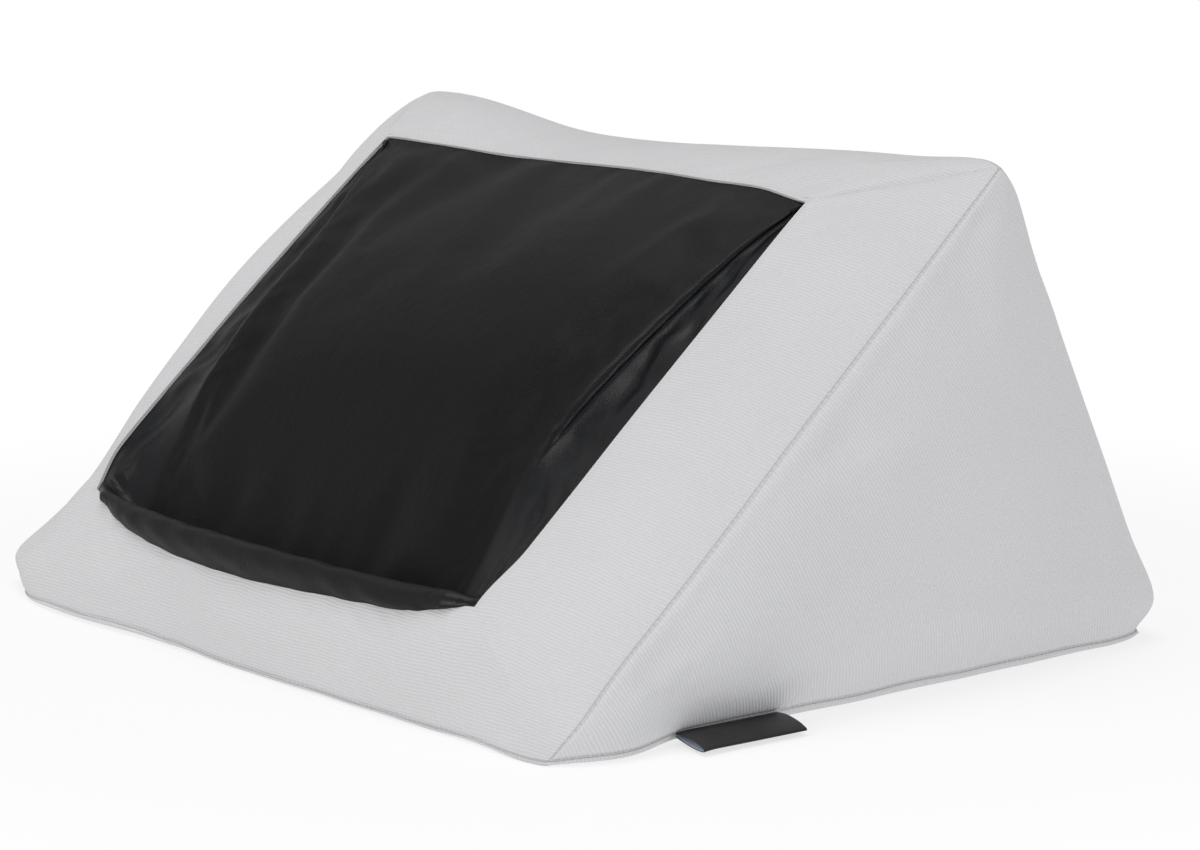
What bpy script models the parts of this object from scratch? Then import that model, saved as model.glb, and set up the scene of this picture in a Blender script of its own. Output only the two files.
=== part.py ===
"""Wedge-shaped bean cushion with a padded leathercloth pocket in its front slope. Metres, +Z up.

The origin is the middle of the base, on the floor. +X runs along the ridge, +Y from the front to the rear.
The cloth panels and the filling are layers of one wedge: each is worked out from the same flat faces,
moved in by the depth of its layer, and swollen by the same crown. The zip lies on a flat band of the rear.
"""

import math

import bmesh
import bpy
from mathutils import Matrix, Vector

# The wedge
cushion_width = 0.344
cushion_depth = 0.286
cushion_height = 0.183
ridge_setback = 0.2035
base_lift = 0.004

# The layers
cloth_thickness = 0.0012
leather_thickness = 0.001
layer_gap = 0.0008
seam_gap = 0.0004
merge_distance = 0.00001

# How far the filling swells each face
front_crown = 0.028
side_crown = 0.014
rear_band_rise = 0.008
rear_crown = 0.012

# How the filled cushion settles
ridge_sag = 0.010
ridge_sag_place = -0.045
base_bow = 0.006
front_seam_bow = 0.003
front_bow = 0.005
corner_pull = 0.002
edge_drop = 0.0032
edge_drop_reach = 0.022
corner_reach = 0.045

# The pocket's opening in the front panel
pocket_width = 0.252
pocket_offset = -0.0045
pocket_lower_edge = 0.0165
pocket_lower_corner = 0.0375
pocket_upper_edge = 0.2285
bed_rise = 0.004
bed_margin = 0.003

# The zip
zip_height = 0.044
zip_length = 0.224
window_height = 0.013
window_spare = 0.003
tape_width = 0.014
tape_thickness = 0.0006
tape_tuck = 0.008
coil_width = 0.0022
coil_thickness = 0.0018
coil_gap = 0.0003
stop_length = 0.003
stop_width = 0.0056
stop_height = 0.0024
slider_length = 0.010
slider_width = 0.0092
slider_plate = 0.0012
slider_flange = 0.0009
slider_clearance = 0.0004
bridge_width = 0.002
bridge_length = 0.0076
bridge_bar = 0.0009
pull_length = 0.026
pull_width = 0.006
pull_thickness = 0.0012
pull_bar = 0.0014
pull_eye_length = 0.0046
pull_eye_width = 0.0032
pull_clearance = 0.0005
zip_edge = 0.0002

# The label
label_length = 0.048
label_reach = 0.021
label_thickness = 0.0004
label_setback = 0.0455
label_rise = 0.0036

# Shape powers: the higher, the flatter the middle and the rounder the edge
front_across_power = 5
front_up_power = 8
side_power = 0.6
edge_power = 4
rear_band_power = 8
rear_across_power = 4
sweep_power = 2.5

# An edge that turns more than this is shown sharp
sharp_angle = math.radians(40)

# Counts
across_steps = 16
slope_steps = 10
base_steps = 12
label_steps = 6
arch_steps = 6

# Where the rings of a panel lie between its seams, 0, and its middle or opening, 1
slope_ring_shares = (0, 0.12, 0.34, 0.65, 1)
side_ring_shares = (0, 0.1, 0.3, 0.6, 1)
base_ring_shares = (0, 0.05, 0.12, 1)
rear_band_fullness_share = 1.4
flat_base_share = 0.88
sag_start_share = 0.5
side_fold_share = 0.875

# The pocket from its lower edge, over the lip, through the trough and up the pad to its upper edge.
# Each pair is a share of the front slope's length, and a share of the front crown's height above the slope.
middle_profile_shares = (
    (0.074, 0.80),
    (0.071, 0.92),
    (0.093, 1.00),
    (0.110, 0.92),
    (0.119, 0.75),
    (0.118, 0.57),
    (0.113, 0.41),
    (0.125, 0.27),
    (0.169, 0.37),
    (0.231, 0.55),
    (0.326, 0.83),
    (0.435, 1.14),
    (0.511, 1.22),
    (0.652, 1.22),
    (0.758, 1.08),
    (0.883, 0.88),
)
side_profile_shares = (
    (0.119, 0.75),
    (0.117, 0.86),
    (0.124, 0.93),
    (0.134, 0.89),
    (0.139, 0.75),
    (0.139, 0.57),
    (0.135, 0.43),
    (0.139, 0.32),
    (0.178, 0.43),
    (0.236, 0.60),
    (0.334, 0.91),
    (0.417, 1.00),
    (0.493, 1.02),
    (0.618, 0.87),
    (0.731, 0.80),
    (0.883, 0.72),
)
# How far up the pocket's straight side, from its lower corner to its upper one, each point of a profile ends
edge_shares = (0, 0.005, 0.01, 0.015, 0.02, 0.026, 0.032, 0.05, 0.08, 0.15, 0.27, 0.38, 0.49, 0.65, 0.81, 1)
# How far out from the pocket's middle the fold between pad and gusset lies, as a share of its half width
fold_shares = (0.9, 0.9, 0.9, 0.9, 0.89, 0.88, 0.87, 0.86, 0.86, 0.87, 0.89, 0.9, 0.91, 0.93, 0.96, 0.985)
lip_end = 6
trough_end = 7
last_profile_point = len(middle_profile_shares) - 1
roll_start_share = 0.5
roll_end_share = 0.8
pad_end_share = 0.9
slope_sample_share = 0.02

# The label's fold from its upper layer's seam end to its lower layer's: shares of its reach and of its rise
label_fold_shares = (
    (0, 0.9),
    (0.35, 1.13),
    (0.7, 1),
    (0.93, 0.73),
    (1, 0.5),
    (0.93, 0.3),
    (0.7, 0.22),
    (0.35, 0.34),
    (0, 0.57),
)

# Colours
grey_cloth = (0.62, 0.63, 0.64)
black_leather = (0.018, 0.018, 0.02)
filling_white = (0.8, 0.8, 0.78)
padding_white = (0.75, 0.75, 0.73)
ribbon_black = (0.01, 0.01, 0.011)
zip_grey = (0.5, 0.51, 0.52)
zip_metal = (0.6, 0.6, 0.6)

half_width = cushion_width / 2
front_foot = Vector((-cushion_depth / 2, base_lift))
rear_foot = Vector((cushion_depth / 2, base_lift))
ridge = Vector((ridge_setback - cushion_depth / 2, cushion_height))
front_up = (ridge - front_foot).normalized()
rear_up = (ridge - rear_foot).normalized()
front_out = Vector((-front_up.y, front_up.x))
rear_out = Vector((rear_up.y, -rear_up.x))
front_length = (ridge - front_foot).length
fill_depth = cloth_thickness + layer_gap
pad_depth = leather_thickness + layer_gap


# Sums that several panels share


def mix(first, second, share):
    return first + (second - first) * share


def swell(place, power):
    """1 in the middle of a line from -1 to 1, falling to 0 at both ends."""
    return 1 - abs(place) ** power


def smooth(share):
    share = min(1, max(0, share))
    return share * share * (3 - 2 * share)


def crossing(first, second):
    """Where two lines of the side view cross, each given as its normal and its distance along it."""
    (a, along_a), (b, along_b) = first, second
    turn = a.x * b.y - a.y * b.x
    return Vector((along_a * b.y - along_b * a.y, a.x * along_b - b.x * along_a)) / turn


def section(depth):
    """The wedge's front foot, rear foot and ridge as (y, z), with each face moved in by depth."""
    base = (Vector((0, -1)), -base_lift - depth)
    front = (front_out, front_out.dot(front_foot) - depth)
    rear = (rear_out, rear_out.dot(rear_foot) - depth)
    return crossing(front, base), crossing(rear, base), crossing(front, rear)


def corners():
    """The six corners of the wedge."""
    ends = (front_foot, rear_foot, ridge)
    return [Vector((side * half_width, *end)) for side in (-1, 1) for end in ends]


def settle(point):
    """A point of the plain wedge, moved as the filled cushion settles: it sags, bows and rounds off."""
    x, y, z = point
    reach = half_width + (ridge_sag_place if x < ridge_sag_place else -ridge_sag_place)
    sag = math.cos(math.pi / 2 * min(1, abs(x - ridge_sag_place) / reach)) ** 2
    start = sag_start_share * cushion_height
    sag_depth = ridge_sag * sag * smooth((z - start) / (cushion_height - start))
    low = max(0, 1 - z / start)
    rear_y = mix(rear_foot.x, ridge.x, z / cushion_height)
    forward = (rear_y - y) / cushion_depth
    wide = base_bow * max(0, swell(2 * y / cushion_depth, 2)) * low
    wide += 4 * front_seam_bow * (z / cushion_height) * forward
    long = front_bow * max(0, swell(x / half_width, 2)) * low * forward
    drop = edge_drop * abs(2 * y / cushion_depth) ** edge_power * min(1, max(0, z / base_lift))
    drop *= max(0, 1 - z / edge_drop_reach)
    moved = Vector((x * (1 + wide / half_width), y - long, z - sag_depth - drop))
    middle = Vector((0, ridge.x / 2, 0))
    for corner in corners():
        near = max(0, 1 - ((point - corner).length / corner_reach) ** 2) ** 2
        inward = middle - corner
        if corner.z < start:
            inward.z = 0
        moved += inward.normalized() * corner_pull * near
    return moved


def rectangle_rim(along_steps):
    """Places round a rectangle: across from -1 to 1 and along from 0 to 1, from its first corner."""
    across = [2 * k / across_steps - 1 for k in range(across_steps)]
    along = [k / along_steps for k in range(along_steps)]
    lower = [(p, 0) for p in across]
    right = [(1, q) for q in along]
    upper = [(-p, 1) for p in across]
    left = [(-1, 1 - q) for q in along]
    return lower + right + upper + left


slope_rim = rectangle_rim(slope_steps)
base_rim = rectangle_rim(base_steps)


# The four kinds of face, each as a function of a place in the face and a depth


def slope_ends(foot, up, depth):
    """How far up a slope the face at this depth starts and ends."""
    front, rear, top = section(depth)
    start = front if foot is front_foot else rear
    return (start - foot).dot(up), (top - foot).dot(up)


def flat_point(foot, up, out, x, rise, height):
    side = foot + up * rise + out * height
    return Vector((x, side.x, side.y))


def slope_point(foot, up, out, x, rise, height):
    return settle(flat_point(foot, up, out, x, rise, height))


def front_height(x, rise, depth=0):
    """How high the front face's cloth stands over the flat slope."""
    start, end = slope_ends(front_foot, front_up, depth)
    across = x / (half_width - depth)
    along = 2 * (rise - start) / (end - start) - 1
    return front_crown * swell(across, front_across_power) * swell(along, front_up_power)


def rear_height(x, rise, depth=0):
    """The same for the rear face: a flat band round the zip, and a swell above it."""
    start, end = slope_ends(rear_foot, rear_up, depth)
    across = x / (half_width - depth)
    along = 2 * (rise - start) / (end - start) - 1
    band = swell(across, rear_band_power) * swell(along, rear_band_power) * rear_band_fullness_share
    band_end = zip_height + tape_width
    above = max(0, (rise - band_end) / (end - band_end))
    swelling = swell(across, rear_across_power) * math.sin(math.pi * above) ** 2
    return rear_band_rise * min(1, band) + rear_crown * swelling


def front_point(x, rise, depth):
    return slope_point(front_foot, front_up, front_out, x, rise, front_height(x, rise, depth) - depth)


def rear_point(x, rise, depth):
    return slope_point(rear_foot, rear_up, rear_out, x, rise, rear_height(x, rise, depth) - depth)


def slope_outline(foot, up, depth):
    start, end = slope_ends(foot, up, depth)
    return [Vector((p * (half_width - depth), mix(start, end, q))) for p, q in slope_rim]


def side_outline(depth):
    """Round the triangular side, as (y, z): up the front seam, down the rear seam, back along the base."""
    front, rear, top = section(depth)
    up = [mix(front, top, k / slope_steps) for k in range(slope_steps)]
    down = [mix(top, rear, k / slope_steps) for k in range(slope_steps)]
    back = [mix(rear, front, k / base_steps) for k in range(base_steps)]
    return up + down + back


def side_point(side, place, depth):
    """A point of the left (-1) or right (1) side, swollen most at the middle of the triangle."""
    front, rear, top = section(depth)
    whole = (rear - front).cross(top - front)
    shares = (
        (rear - place).cross(top - place) / whole,
        (top - place).cross(front - place) / whole,
        (front - place).cross(rear - place) / whole,
    )
    # The middle's three shares are a third each, so 27 brings its fullness to 1
    fullness = 27 * max(0, shares[0]) * max(0, shares[1]) * max(0, shares[2])
    out = half_width - depth + side_crown * fullness**side_power
    return settle(Vector((side * out, place.x, place.y)))


def base_outline(depth):
    front, rear, _ = section(depth)
    return [Vector((p * (half_width - depth), mix(front.x, rear.x, q))) for p, q in base_rim]


def base_point(place, ring_share, depth):
    """A point of the base, which turns up from the floor to its seam."""
    turned_up = max(0, 1 - ring_share / (1 - flat_base_share)) ** 2
    return settle(Vector((place.x, place.y, depth + base_lift * turned_up)))


# The pocket


def opening_lower_edge(across):
    """How far up the slope the opening's swept lower edge lies."""
    return mix(pocket_lower_edge, pocket_lower_corner, abs(across) ** sweep_power)


def pocket_rim():
    """The opening's outline on the front slope, as (x, rise), in the order of the slope's rim."""
    points = []
    for p, q in slope_rim:
        x = pocket_offset + p * pocket_width / 2
        points.append(Vector((x, mix(opening_lower_edge(p), pocket_upper_edge, q))))
    return points


def window_rim():
    """The zip's window in the rear panel."""
    half_length = zip_length / 2 + stop_length + window_spare
    half_height = window_height / 2
    return [Vector((p * half_length, zip_height + (2 * q - 1) * half_height)) for p, q in slope_rim]


def table(values, place):
    """A table's value at a place between its entries."""
    first = min(int(place), len(values) - 2)
    return mix(values[first], values[first + 1], place - first)


def profile_place(across, along):
    """Where the pocket's cloth lies over the flat slope: across -1 to 1, along in points of the profile."""
    side = math.copysign(1, across)
    spread = abs(across)
    edge_rise = mix(pocket_lower_corner, pocket_upper_edge, table(edge_shares, along))
    fold = table(fold_shares, along)
    middle = Vector((table([s for s, _ in middle_profile_shares], along) * front_length,
                     table([n for _, n in middle_profile_shares], along) * front_crown))
    beside = Vector((table([s for s, _ in side_profile_shares], along) * front_length,
                     table([n for _, n in side_profile_shares], along) * front_crown))
    if spread <= side_fold_share:
        share = spread / side_fold_share
        x = pocket_offset + side * pocket_width / 2 * fold * share
        place = mix(middle, beside, share**sweep_power)
    else:
        share = (spread - side_fold_share) / (1 - side_fold_share)
        x = pocket_offset + side * pocket_width / 2 * mix(fold, 1, share)
        edge_x = pocket_offset + side * pocket_width / 2
        place = mix(beside, Vector((edge_rise, front_height(edge_x, edge_rise))), share)
    return x, place


def pocket_surface(across, along):
    """The pocket's outer side, pulled onto the front panel where it is sewn to it."""
    x, place = profile_place(across, along)
    for end in (0, last_profile_point):
        near = max(0, 1 - abs(along - end))
        seam_x, end_place = profile_place(across, end)
        seam_share = (seam_x - pocket_offset) / (pocket_width / 2)
        rise = opening_lower_edge(seam_share) if end == 0 else pocket_upper_edge
        place += (Vector((rise, front_height(seam_x, rise))) - end_place) * near
    return slope_point(front_foot, front_up, front_out, x, place.x, place.y)


def pocket_point(across, along, depth):
    """A point of the pocket, at a depth below its outer side. At its sides the depth runs straight in."""
    low, high = max(0, along - slope_sample_share), min(last_profile_point, along + slope_sample_share)
    left, right = max(-1, across - slope_sample_share), min(1, across + slope_sample_share)
    up = pocket_surface(across, high) - pocket_surface(across, low)
    sideways = pocket_surface(right, along) - pocket_surface(left, along)
    out = sideways.cross(up)
    if abs(across) == 1:
        out.x = 0
    return pocket_surface(across, along) - out.normalized() * depth


def bed_point(across, rise):
    """A point on the flat bed that the pocket's padding lies on."""
    x = pocket_offset + across * pocket_width / 2
    return flat_point(front_foot, front_up, front_out, x, rise, bed_rise + seam_gap)


# Making objects


def clear_scene():
    for obj in list(bpy.data.objects):
        bpy.data.objects.remove(obj)


def new_collection(name):
    collection = bpy.data.collections.new(name)
    bpy.context.scene.collection.children.link(collection)
    return collection


def finish(obj, colour, roughness, metallic=0.0):
    """Gives an object its own material and smooth shading with sharp seams."""
    material = bpy.data.materials.new(obj.name)
    material.use_nodes = True
    shader = material.node_tree.nodes["Principled BSDF"]
    shader.inputs["Base Color"].default_value = (*colour, 1)
    shader.inputs["Roughness"].default_value = roughness
    shader.inputs["Metallic"].default_value = metallic
    obj.data.materials.clear()
    obj.data.materials.append(material)
    obj.data.shade_smooth()
    obj.data.set_sharp_from_angle(angle=sharp_angle)
    return obj


def mesh_object(name, bm):
    bmesh.ops.recalc_face_normals(bm, faces=bm.faces[:])
    if bm.calc_volume(signed=True) < 0:
        bmesh.ops.reverse_faces(bm, faces=bm.faces[:])
    mesh = bpy.data.meshes.new(name)
    bm.to_mesh(mesh)
    bm.free()
    obj = bpy.data.objects.new(name, mesh)
    parts.objects.link(obj)
    return obj


def laid_grid(bm, steps_u, steps_v, place):
    """Adds a grid and lays it on place(u, v). Its edges are merged where the surface closes on itself."""
    u_layer = bm.verts.layers.float.get("u") or bm.verts.layers.float.new("u")
    v_layer = bm.verts.layers.float.get("v") or bm.verts.layers.float.new("v")
    made = bmesh.ops.create_grid(bm, x_segments=steps_u, y_segments=steps_v, size=1)["verts"]
    for vert in made:
        vert[u_layer] = round((vert.co.x + 1) / 2 * steps_u)
        vert[v_layer] = round((vert.co.y + 1) / 2 * steps_v)
    for vert in made:
        vert.co = place(int(vert[u_layer]), int(vert[v_layer]))
    bmesh.ops.remove_doubles(bm, verts=made, dist=merge_distance)


def layer(name, steps_u, steps_v, outer, inner):
    """A closed sheet: a grid laid on outer(u, v) and extruded to inner(u, v)."""
    bm = bmesh.new()
    laid_grid(bm, steps_u, steps_v, outer)
    u_layer = bm.verts.layers.float["u"]
    v_layer = bm.verts.layers.float["v"]
    extruded = bmesh.ops.extrude_face_region(bm, geom=bm.faces[:])["geom"]
    for vert in [item for item in extruded if isinstance(item, bmesh.types.BMVert)]:
        vert.co = inner(int(vert[u_layer]), int(vert[v_layer]))
    return mesh_object(name, bm)


def drawn_in(place, steps_u, steps_v, open_u=True, open_v=(True, True), gap=seam_gap):
    """The same surface with its open edges drawn in by half the gap at its seams."""

    def drawn(u, v):
        point = place(u, v)
        moves = []
        if open_u and u in (0, steps_u):
            moves.append(place(1 if u == 0 else steps_u - 1, v) - point)
        if (v == 0 and open_v[0]) or (v == steps_v and open_v[1]):
            moves.append(place(u, 1 if v == 0 else steps_v - 1) - point)
        for move in moves:
            point = point + move.normalized() * gap / 2
        return point

    return drawn


# The cloth panels


def ring_place(outer, inner, ring_shares, point):
    """A surface of rings from an outline, 0, to an inner outline or middle, 1."""

    def place(u, v):
        spot = mix(outer[u % len(outer)], inner[u % len(inner)], ring_shares[v])
        return point(spot, ring_shares[v])

    return place


def slope_panel(name, foot, up, opening, point):
    """A sloping panel with an opening in it."""

    def at(depth):
        outline = slope_outline(foot, up, depth)
        rings = ring_place(outline, opening, slope_ring_shares, lambda spot, _: point(spot.x, spot.y, depth))
        return drawn_in(rings, len(slope_rim), len(slope_ring_shares) - 1, open_u=False)

    return layer(name, len(slope_rim), len(slope_ring_shares) - 1, at(0), at(cloth_thickness))


def side_panel(name, side):
    def at(depth):
        outline = side_outline(depth)
        middle = [sum(section(depth), Vector((0, 0))) / 3]
        rings = ring_place(outline, middle, side_ring_shares, lambda spot, _: side_point(side, spot, depth))
        return drawn_in(rings, len(outline), len(side_ring_shares) - 1, open_u=False, open_v=(True, False))

    return layer(name, len(side_outline(0)), len(side_ring_shares) - 1, at(0), at(cloth_thickness))


def base_rings(depth):
    front, rear, _ = section(depth)
    middle = [Vector((0, (front.x + rear.x) / 2))]
    return ring_place(
        base_outline(depth), middle, base_ring_shares, lambda spot, share: base_point(spot, share, depth)
    )


def base_panel():
    steps = len(base_ring_shares) - 1

    def at(depth):
        return drawn_in(base_rings(depth), len(base_rim), steps, open_u=False, open_v=(True, False))

    return layer("base_panel", len(base_rim), steps, at(0), at(cloth_thickness))


# The filling: all five faces one layer further in, with a flat bed under the pocket and under the zip


def grown(rim, margin):
    """A rim moved outwards from its middle by a margin along each axis."""
    middle = sum(rim, Vector((0, 0))) / len(rim)
    sizes = [max(abs(spot[axis] - middle[axis]) for spot in rim) for axis in (0, 1)]
    return [
        Vector([middle[axis] + (spot[axis] - middle[axis]) * (1 + margin / sizes[axis]) for axis in (0, 1)])
        for spot in rim
    ]


def bedded_rings(foot, up, opening, margin, out, point, bed_height):
    """A slope of the filling: its panel's rings, the rim of its bed, past the opening, and the flat bed."""
    rim = grown(opening, margin)
    outline = slope_outline(foot, up, fill_depth)
    middle = sum(rim, Vector((0, 0))) / len(rim)
    last = len(slope_ring_shares) - 1

    def place(u, v):
        k = u % len(rim)
        if v <= last:
            spot = rim[k] if v == last else mix(outline[k], opening[k], slope_ring_shares[v])
            return point(spot.x, spot.y, fill_depth)
        spot = mix(rim[k], middle, 0 if v == last + 1 else 1)
        return flat_point(foot, up, out, spot.x, spot.y, bed_height)

    return place, last + 2


def bead_filling():
    bm = bmesh.new()
    front, front_steps = bedded_rings(
        front_foot, front_up, pocket_rim(), bed_margin, front_out, front_point, bed_rise
    )
    laid_grid(bm, len(slope_rim), front_steps, front)
    rear_bed = rear_band_rise - cloth_thickness - seam_gap * 2 - tape_thickness
    rear, rear_steps = bedded_rings(
        rear_foot, rear_up, window_rim(), tape_tuck + bed_margin / 2, rear_out, rear_point, rear_bed
    )
    laid_grid(bm, len(slope_rim), rear_steps, rear)
    outline = side_outline(fill_depth)
    middle = [sum(section(fill_depth), Vector((0, 0))) / 3]
    for side in (-1, 1):
        rings = ring_place(
            outline, middle, side_ring_shares, lambda spot, _: side_point(side, spot, fill_depth)
        )
        laid_grid(bm, len(outline), len(side_ring_shares) - 1, rings)
    laid_grid(bm, len(base_rim), len(base_ring_shares) - 1, base_rings(fill_depth))
    bmesh.ops.remove_doubles(bm, verts=bm.verts[:], dist=merge_distance)
    return mesh_object("bead_filling", bm)


# The pocket's cloth and padding


def pocket_sheet(name, across_places, first, last):
    """A piece of the pocket's cloth between two points of the profile and between two places across."""
    steps_u, steps_v = len(across_places) - 1, last - first

    def at(depth):
        def place(u, v):
            return pocket_point(across_places[u], first + v, depth)

        return drawn_in(place, steps_u, steps_v, gap=layer_gap)

    return layer(name, steps_u, steps_v, at(0), at(leather_thickness))


def pocket_across():
    """Places across the pocket, with one more within each gusset."""
    places = [2 * k / across_steps - 1 for k in range(across_steps + 1)]
    gusset_middle = mix(side_fold_share, 1, 1 / 2)
    return sorted(places + [-gusset_middle, gusset_middle])


def pad_across():
    return [place for place in pocket_across() if abs(place) <= side_fold_share]


def pocket_lip():
    return pocket_sheet("pocket_lip", pocket_across(), 0, lip_end)


def pocket_back_panel():
    return pocket_sheet("pocket_back_panel", pad_across(), lip_end, last_profile_point)


def pocket_gusset(name, side):
    places = [place for place in pocket_across() if side * place >= side_fold_share]
    return pocket_sheet(name, places, lip_end, last_profile_point)


def lip_roll():
    """The padding in the lip, from the lip's cloth down to the bed."""
    places = [place for place in pad_across() if abs(place) <= roll_end_share]

    def top(u, v):
        # Deeper towards its ends and its rear, where the lip's cloth turns most
        depth = pad_depth + layer_gap * (v / lip_end + abs(places[u]))
        return pocket_point(places[u], v if v else roll_start_share, depth)

    def bottom(u, v):
        start = opening_lower_edge(places[u]) + pad_depth
        _, trough = profile_place(places[u], lip_end)
        return bed_point(places[u], mix(start, trough.x, v / lip_end))

    return layer("lip_roll", len(places) - 1, lip_end, top, bottom)


def pocket_pad():
    """The padding behind the pocket's back panel, from its cloth down to the bed."""
    places = pad_across()
    steps = last_profile_point - trough_end

    def along(v):
        return trough_end + v - (pad_end_share if v == steps else 0)

    def top(u, v):
        return pocket_point(places[u], along(v), pad_depth)

    def bottom(u, v):
        x, place = profile_place(places[u], along(v))
        return flat_point(front_foot, front_up, front_out, x, place.x, bed_rise + seam_gap)

    return layer("pocket_pad", len(places) - 1, steps, top, bottom)


# The label


def side_label():
    """A ribbon folded double, its ends at the right base seam and its fold hanging towards the floor."""
    seam_start = label_setback - cushion_depth / 2

    def place(u, v):
        y = seam_start + label_length * u / label_steps
        seam_x = settle(Vector((half_width, y, base_lift))).x
        out_share, rise_share = label_fold_shares[v]
        return Vector((seam_x + seam_gap + label_reach * out_share, y, label_rise * rise_share))

    bm = bmesh.new()
    laid_grid(bm, label_steps, len(label_fold_shares) - 1, place)
    obj = mesh_object("side_label", bm)
    wall = obj.modifiers.new("wall", "SOLIDIFY")
    wall.thickness = label_thickness
    wall.offset = 0
    return obj


# The zip, in a frame of its own: e1 along the zip, e2 up the rear slope, e3 out of it


def zip_frame():
    place = rear_foot + rear_up * zip_height + rear_out * rear_band_rise
    axes = Matrix(((-1, 0, 0), (0, rear_up.x, rear_up.y), (0, rear_out.x, rear_out.y))).transposed()
    return Matrix.Translation((0, place.x, place.y)) @ axes.to_4x4()


def flat_solid(name, loops, half_thickness):
    """A mesh made from flat outlines in x and y, thick along z, the second outline a hole in the first."""
    curve = bpy.data.curves.new(name, "CURVE")
    curve.dimensions = "2D"
    curve.fill_mode = "BOTH"
    curve.extrude = half_thickness
    for loop in loops:
        spline = curve.splines.new("POLY")
        spline.points.add(len(loop) - 1)
        spline.use_cyclic_u = True
        for point, (x, y) in zip(spline.points, loop):
            point.co = (x, y, 0, 1)
    guide = bpy.data.objects.new(name + "_outline", curve)
    parts.objects.link(guide)
    mesh = bpy.data.meshes.new_from_object(guide.evaluated_get(bpy.context.evaluated_depsgraph_get()))
    bpy.data.objects.remove(guide)
    bm = bmesh.new()
    bm.from_mesh(mesh)
    bpy.data.meshes.remove(mesh)
    bmesh.ops.remove_doubles(bm, verts=bm.verts[:], dist=merge_distance)
    return mesh_object(name, bm)


def block(name, size, place):
    """A box with softened edges, in the zip's frame."""
    bm = bmesh.new()
    bmesh.ops.create_cube(bm, size=1)
    bmesh.ops.scale(bm, vec=size, verts=bm.verts[:])
    obj = mesh_object(name, bm)
    obj.matrix_world = zip_frame() @ Matrix.Translation(place)
    edge = obj.modifiers.new("edges", "BEVEL")
    edge.width = zip_edge
    edge.segments = 1
    return obj


def zip_tape(name, side):
    length = zip_length + 2 * (stop_length + window_spare + tape_tuck)
    height = -cloth_thickness - seam_gap - tape_thickness / 2
    size = (length, tape_width - coil_gap / 2, tape_thickness)
    return block(name, size, (0, side * (tape_width + coil_gap / 2) / 2, height))


def coil_base():
    """The height at which coils and stops stand, just clear of the tapes."""
    return -cloth_thickness - seam_gap + coil_gap


def arch(half, height):
    """A half round outline on a flat base."""
    turns = [math.pi * k / arch_steps for k in range(arch_steps + 1)]
    return [(half * math.cos(turn), height * math.sin(turn)) for turn in turns]


def standing_along_zip():
    """Turns a flat outline so that it stands across the zip and is thick along it."""
    return Matrix(((0, 0, 1), (1, 0, 0), (0, 1, 0))).to_4x4()


def zip_coil(name, side):
    """One half of the closed chain: a half round strip, which stands for the coil's turns."""
    obj = flat_solid(name, [arch(coil_width / 2, coil_thickness)], zip_length / 2)
    place = (0, side * (coil_width + coil_gap) / 2, coil_base())
    obj.matrix_world = zip_frame() @ Matrix.Translation(place) @ standing_along_zip()
    return obj


def zip_stop(name, end):
    place = end * (zip_length / 2 + coil_gap + stop_length / 2)
    size = (stop_length, stop_width, stop_height)
    return block(name, size, (place, 0, coil_base() + stop_height / 2))


def slider_rest():
    """Where the slider stands at the closed end of the zip."""
    return -zip_length / 2 + slider_length / 2 + slider_clearance


def plate_base():
    return coil_base() + coil_thickness + slider_clearance


def pull_axis_height():
    return plate_base() + slider_plate + pull_clearance + pull_thickness / 2


def slider_channel():
    """The slider's plate with a flange down each side of the coils."""
    out, inner = slider_width / 2, slider_width / 2 - slider_flange
    top, under, foot = plate_base() + slider_plate, plate_base(), coil_base()
    chamfer = slider_plate / 2
    right = [(out, foot), (out, top - chamfer), (out - chamfer, top)]
    left = [(chamfer - out, top), (-out, top - chamfer), (-out, foot)]
    outline = right + left + [(-inner, foot), (-inner, under), (inner, under), (inner, foot)]
    obj = flat_solid("zip_slider", [outline], slider_length / 2)
    obj.matrix_world = standing_along_zip()
    return obj


def slider_bridge():
    """The small arch on the slider that the pull's bar passes under."""
    half = bridge_length / 2
    inner = half - bridge_bar
    foot = plate_base() + slider_plate / 2
    under = pull_axis_height() + pull_thickness / 2 + pull_clearance
    shoulder, top = under - bridge_bar / 4, under + bridge_bar
    outline = [
        (half, foot), (half, shoulder), (inner, top), (-inner, top), (-half, shoulder), (-half, foot),
        (-inner, foot), (-inner, under), (inner, under), (inner, foot),
    ]
    obj = flat_solid("slider_bridge", [outline], bridge_width / 2)
    obj.matrix_world = Matrix(((1, 0, 0), (0, 0, 1), (0, 1, 0))).to_4x4()
    return obj


def bake_place(obj):
    """Moves an object's place into its mesh."""
    obj.data.transform(obj.matrix_world)
    if obj.matrix_world.determinant() < 0:
        obj.data.flip_normals()
    obj.matrix_world = Matrix()


def zip_slider():
    channel = slider_channel()
    bridge = slider_bridge()
    for obj in (channel, bridge):
        bake_place(obj)
    parts.objects.unlink(bridge)
    cutters.objects.link(bridge)
    bridge.hide_render = True
    bridge.display_type = "WIRE"
    place = zip_frame() @ Matrix.Translation((slider_rest(), 0, 0))
    for obj in (channel, bridge):
        obj.matrix_world = place
    joined = channel.modifiers.new("bridge", "BOOLEAN")
    joined.operation = "UNION"
    joined.object = bridge
    return channel


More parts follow.
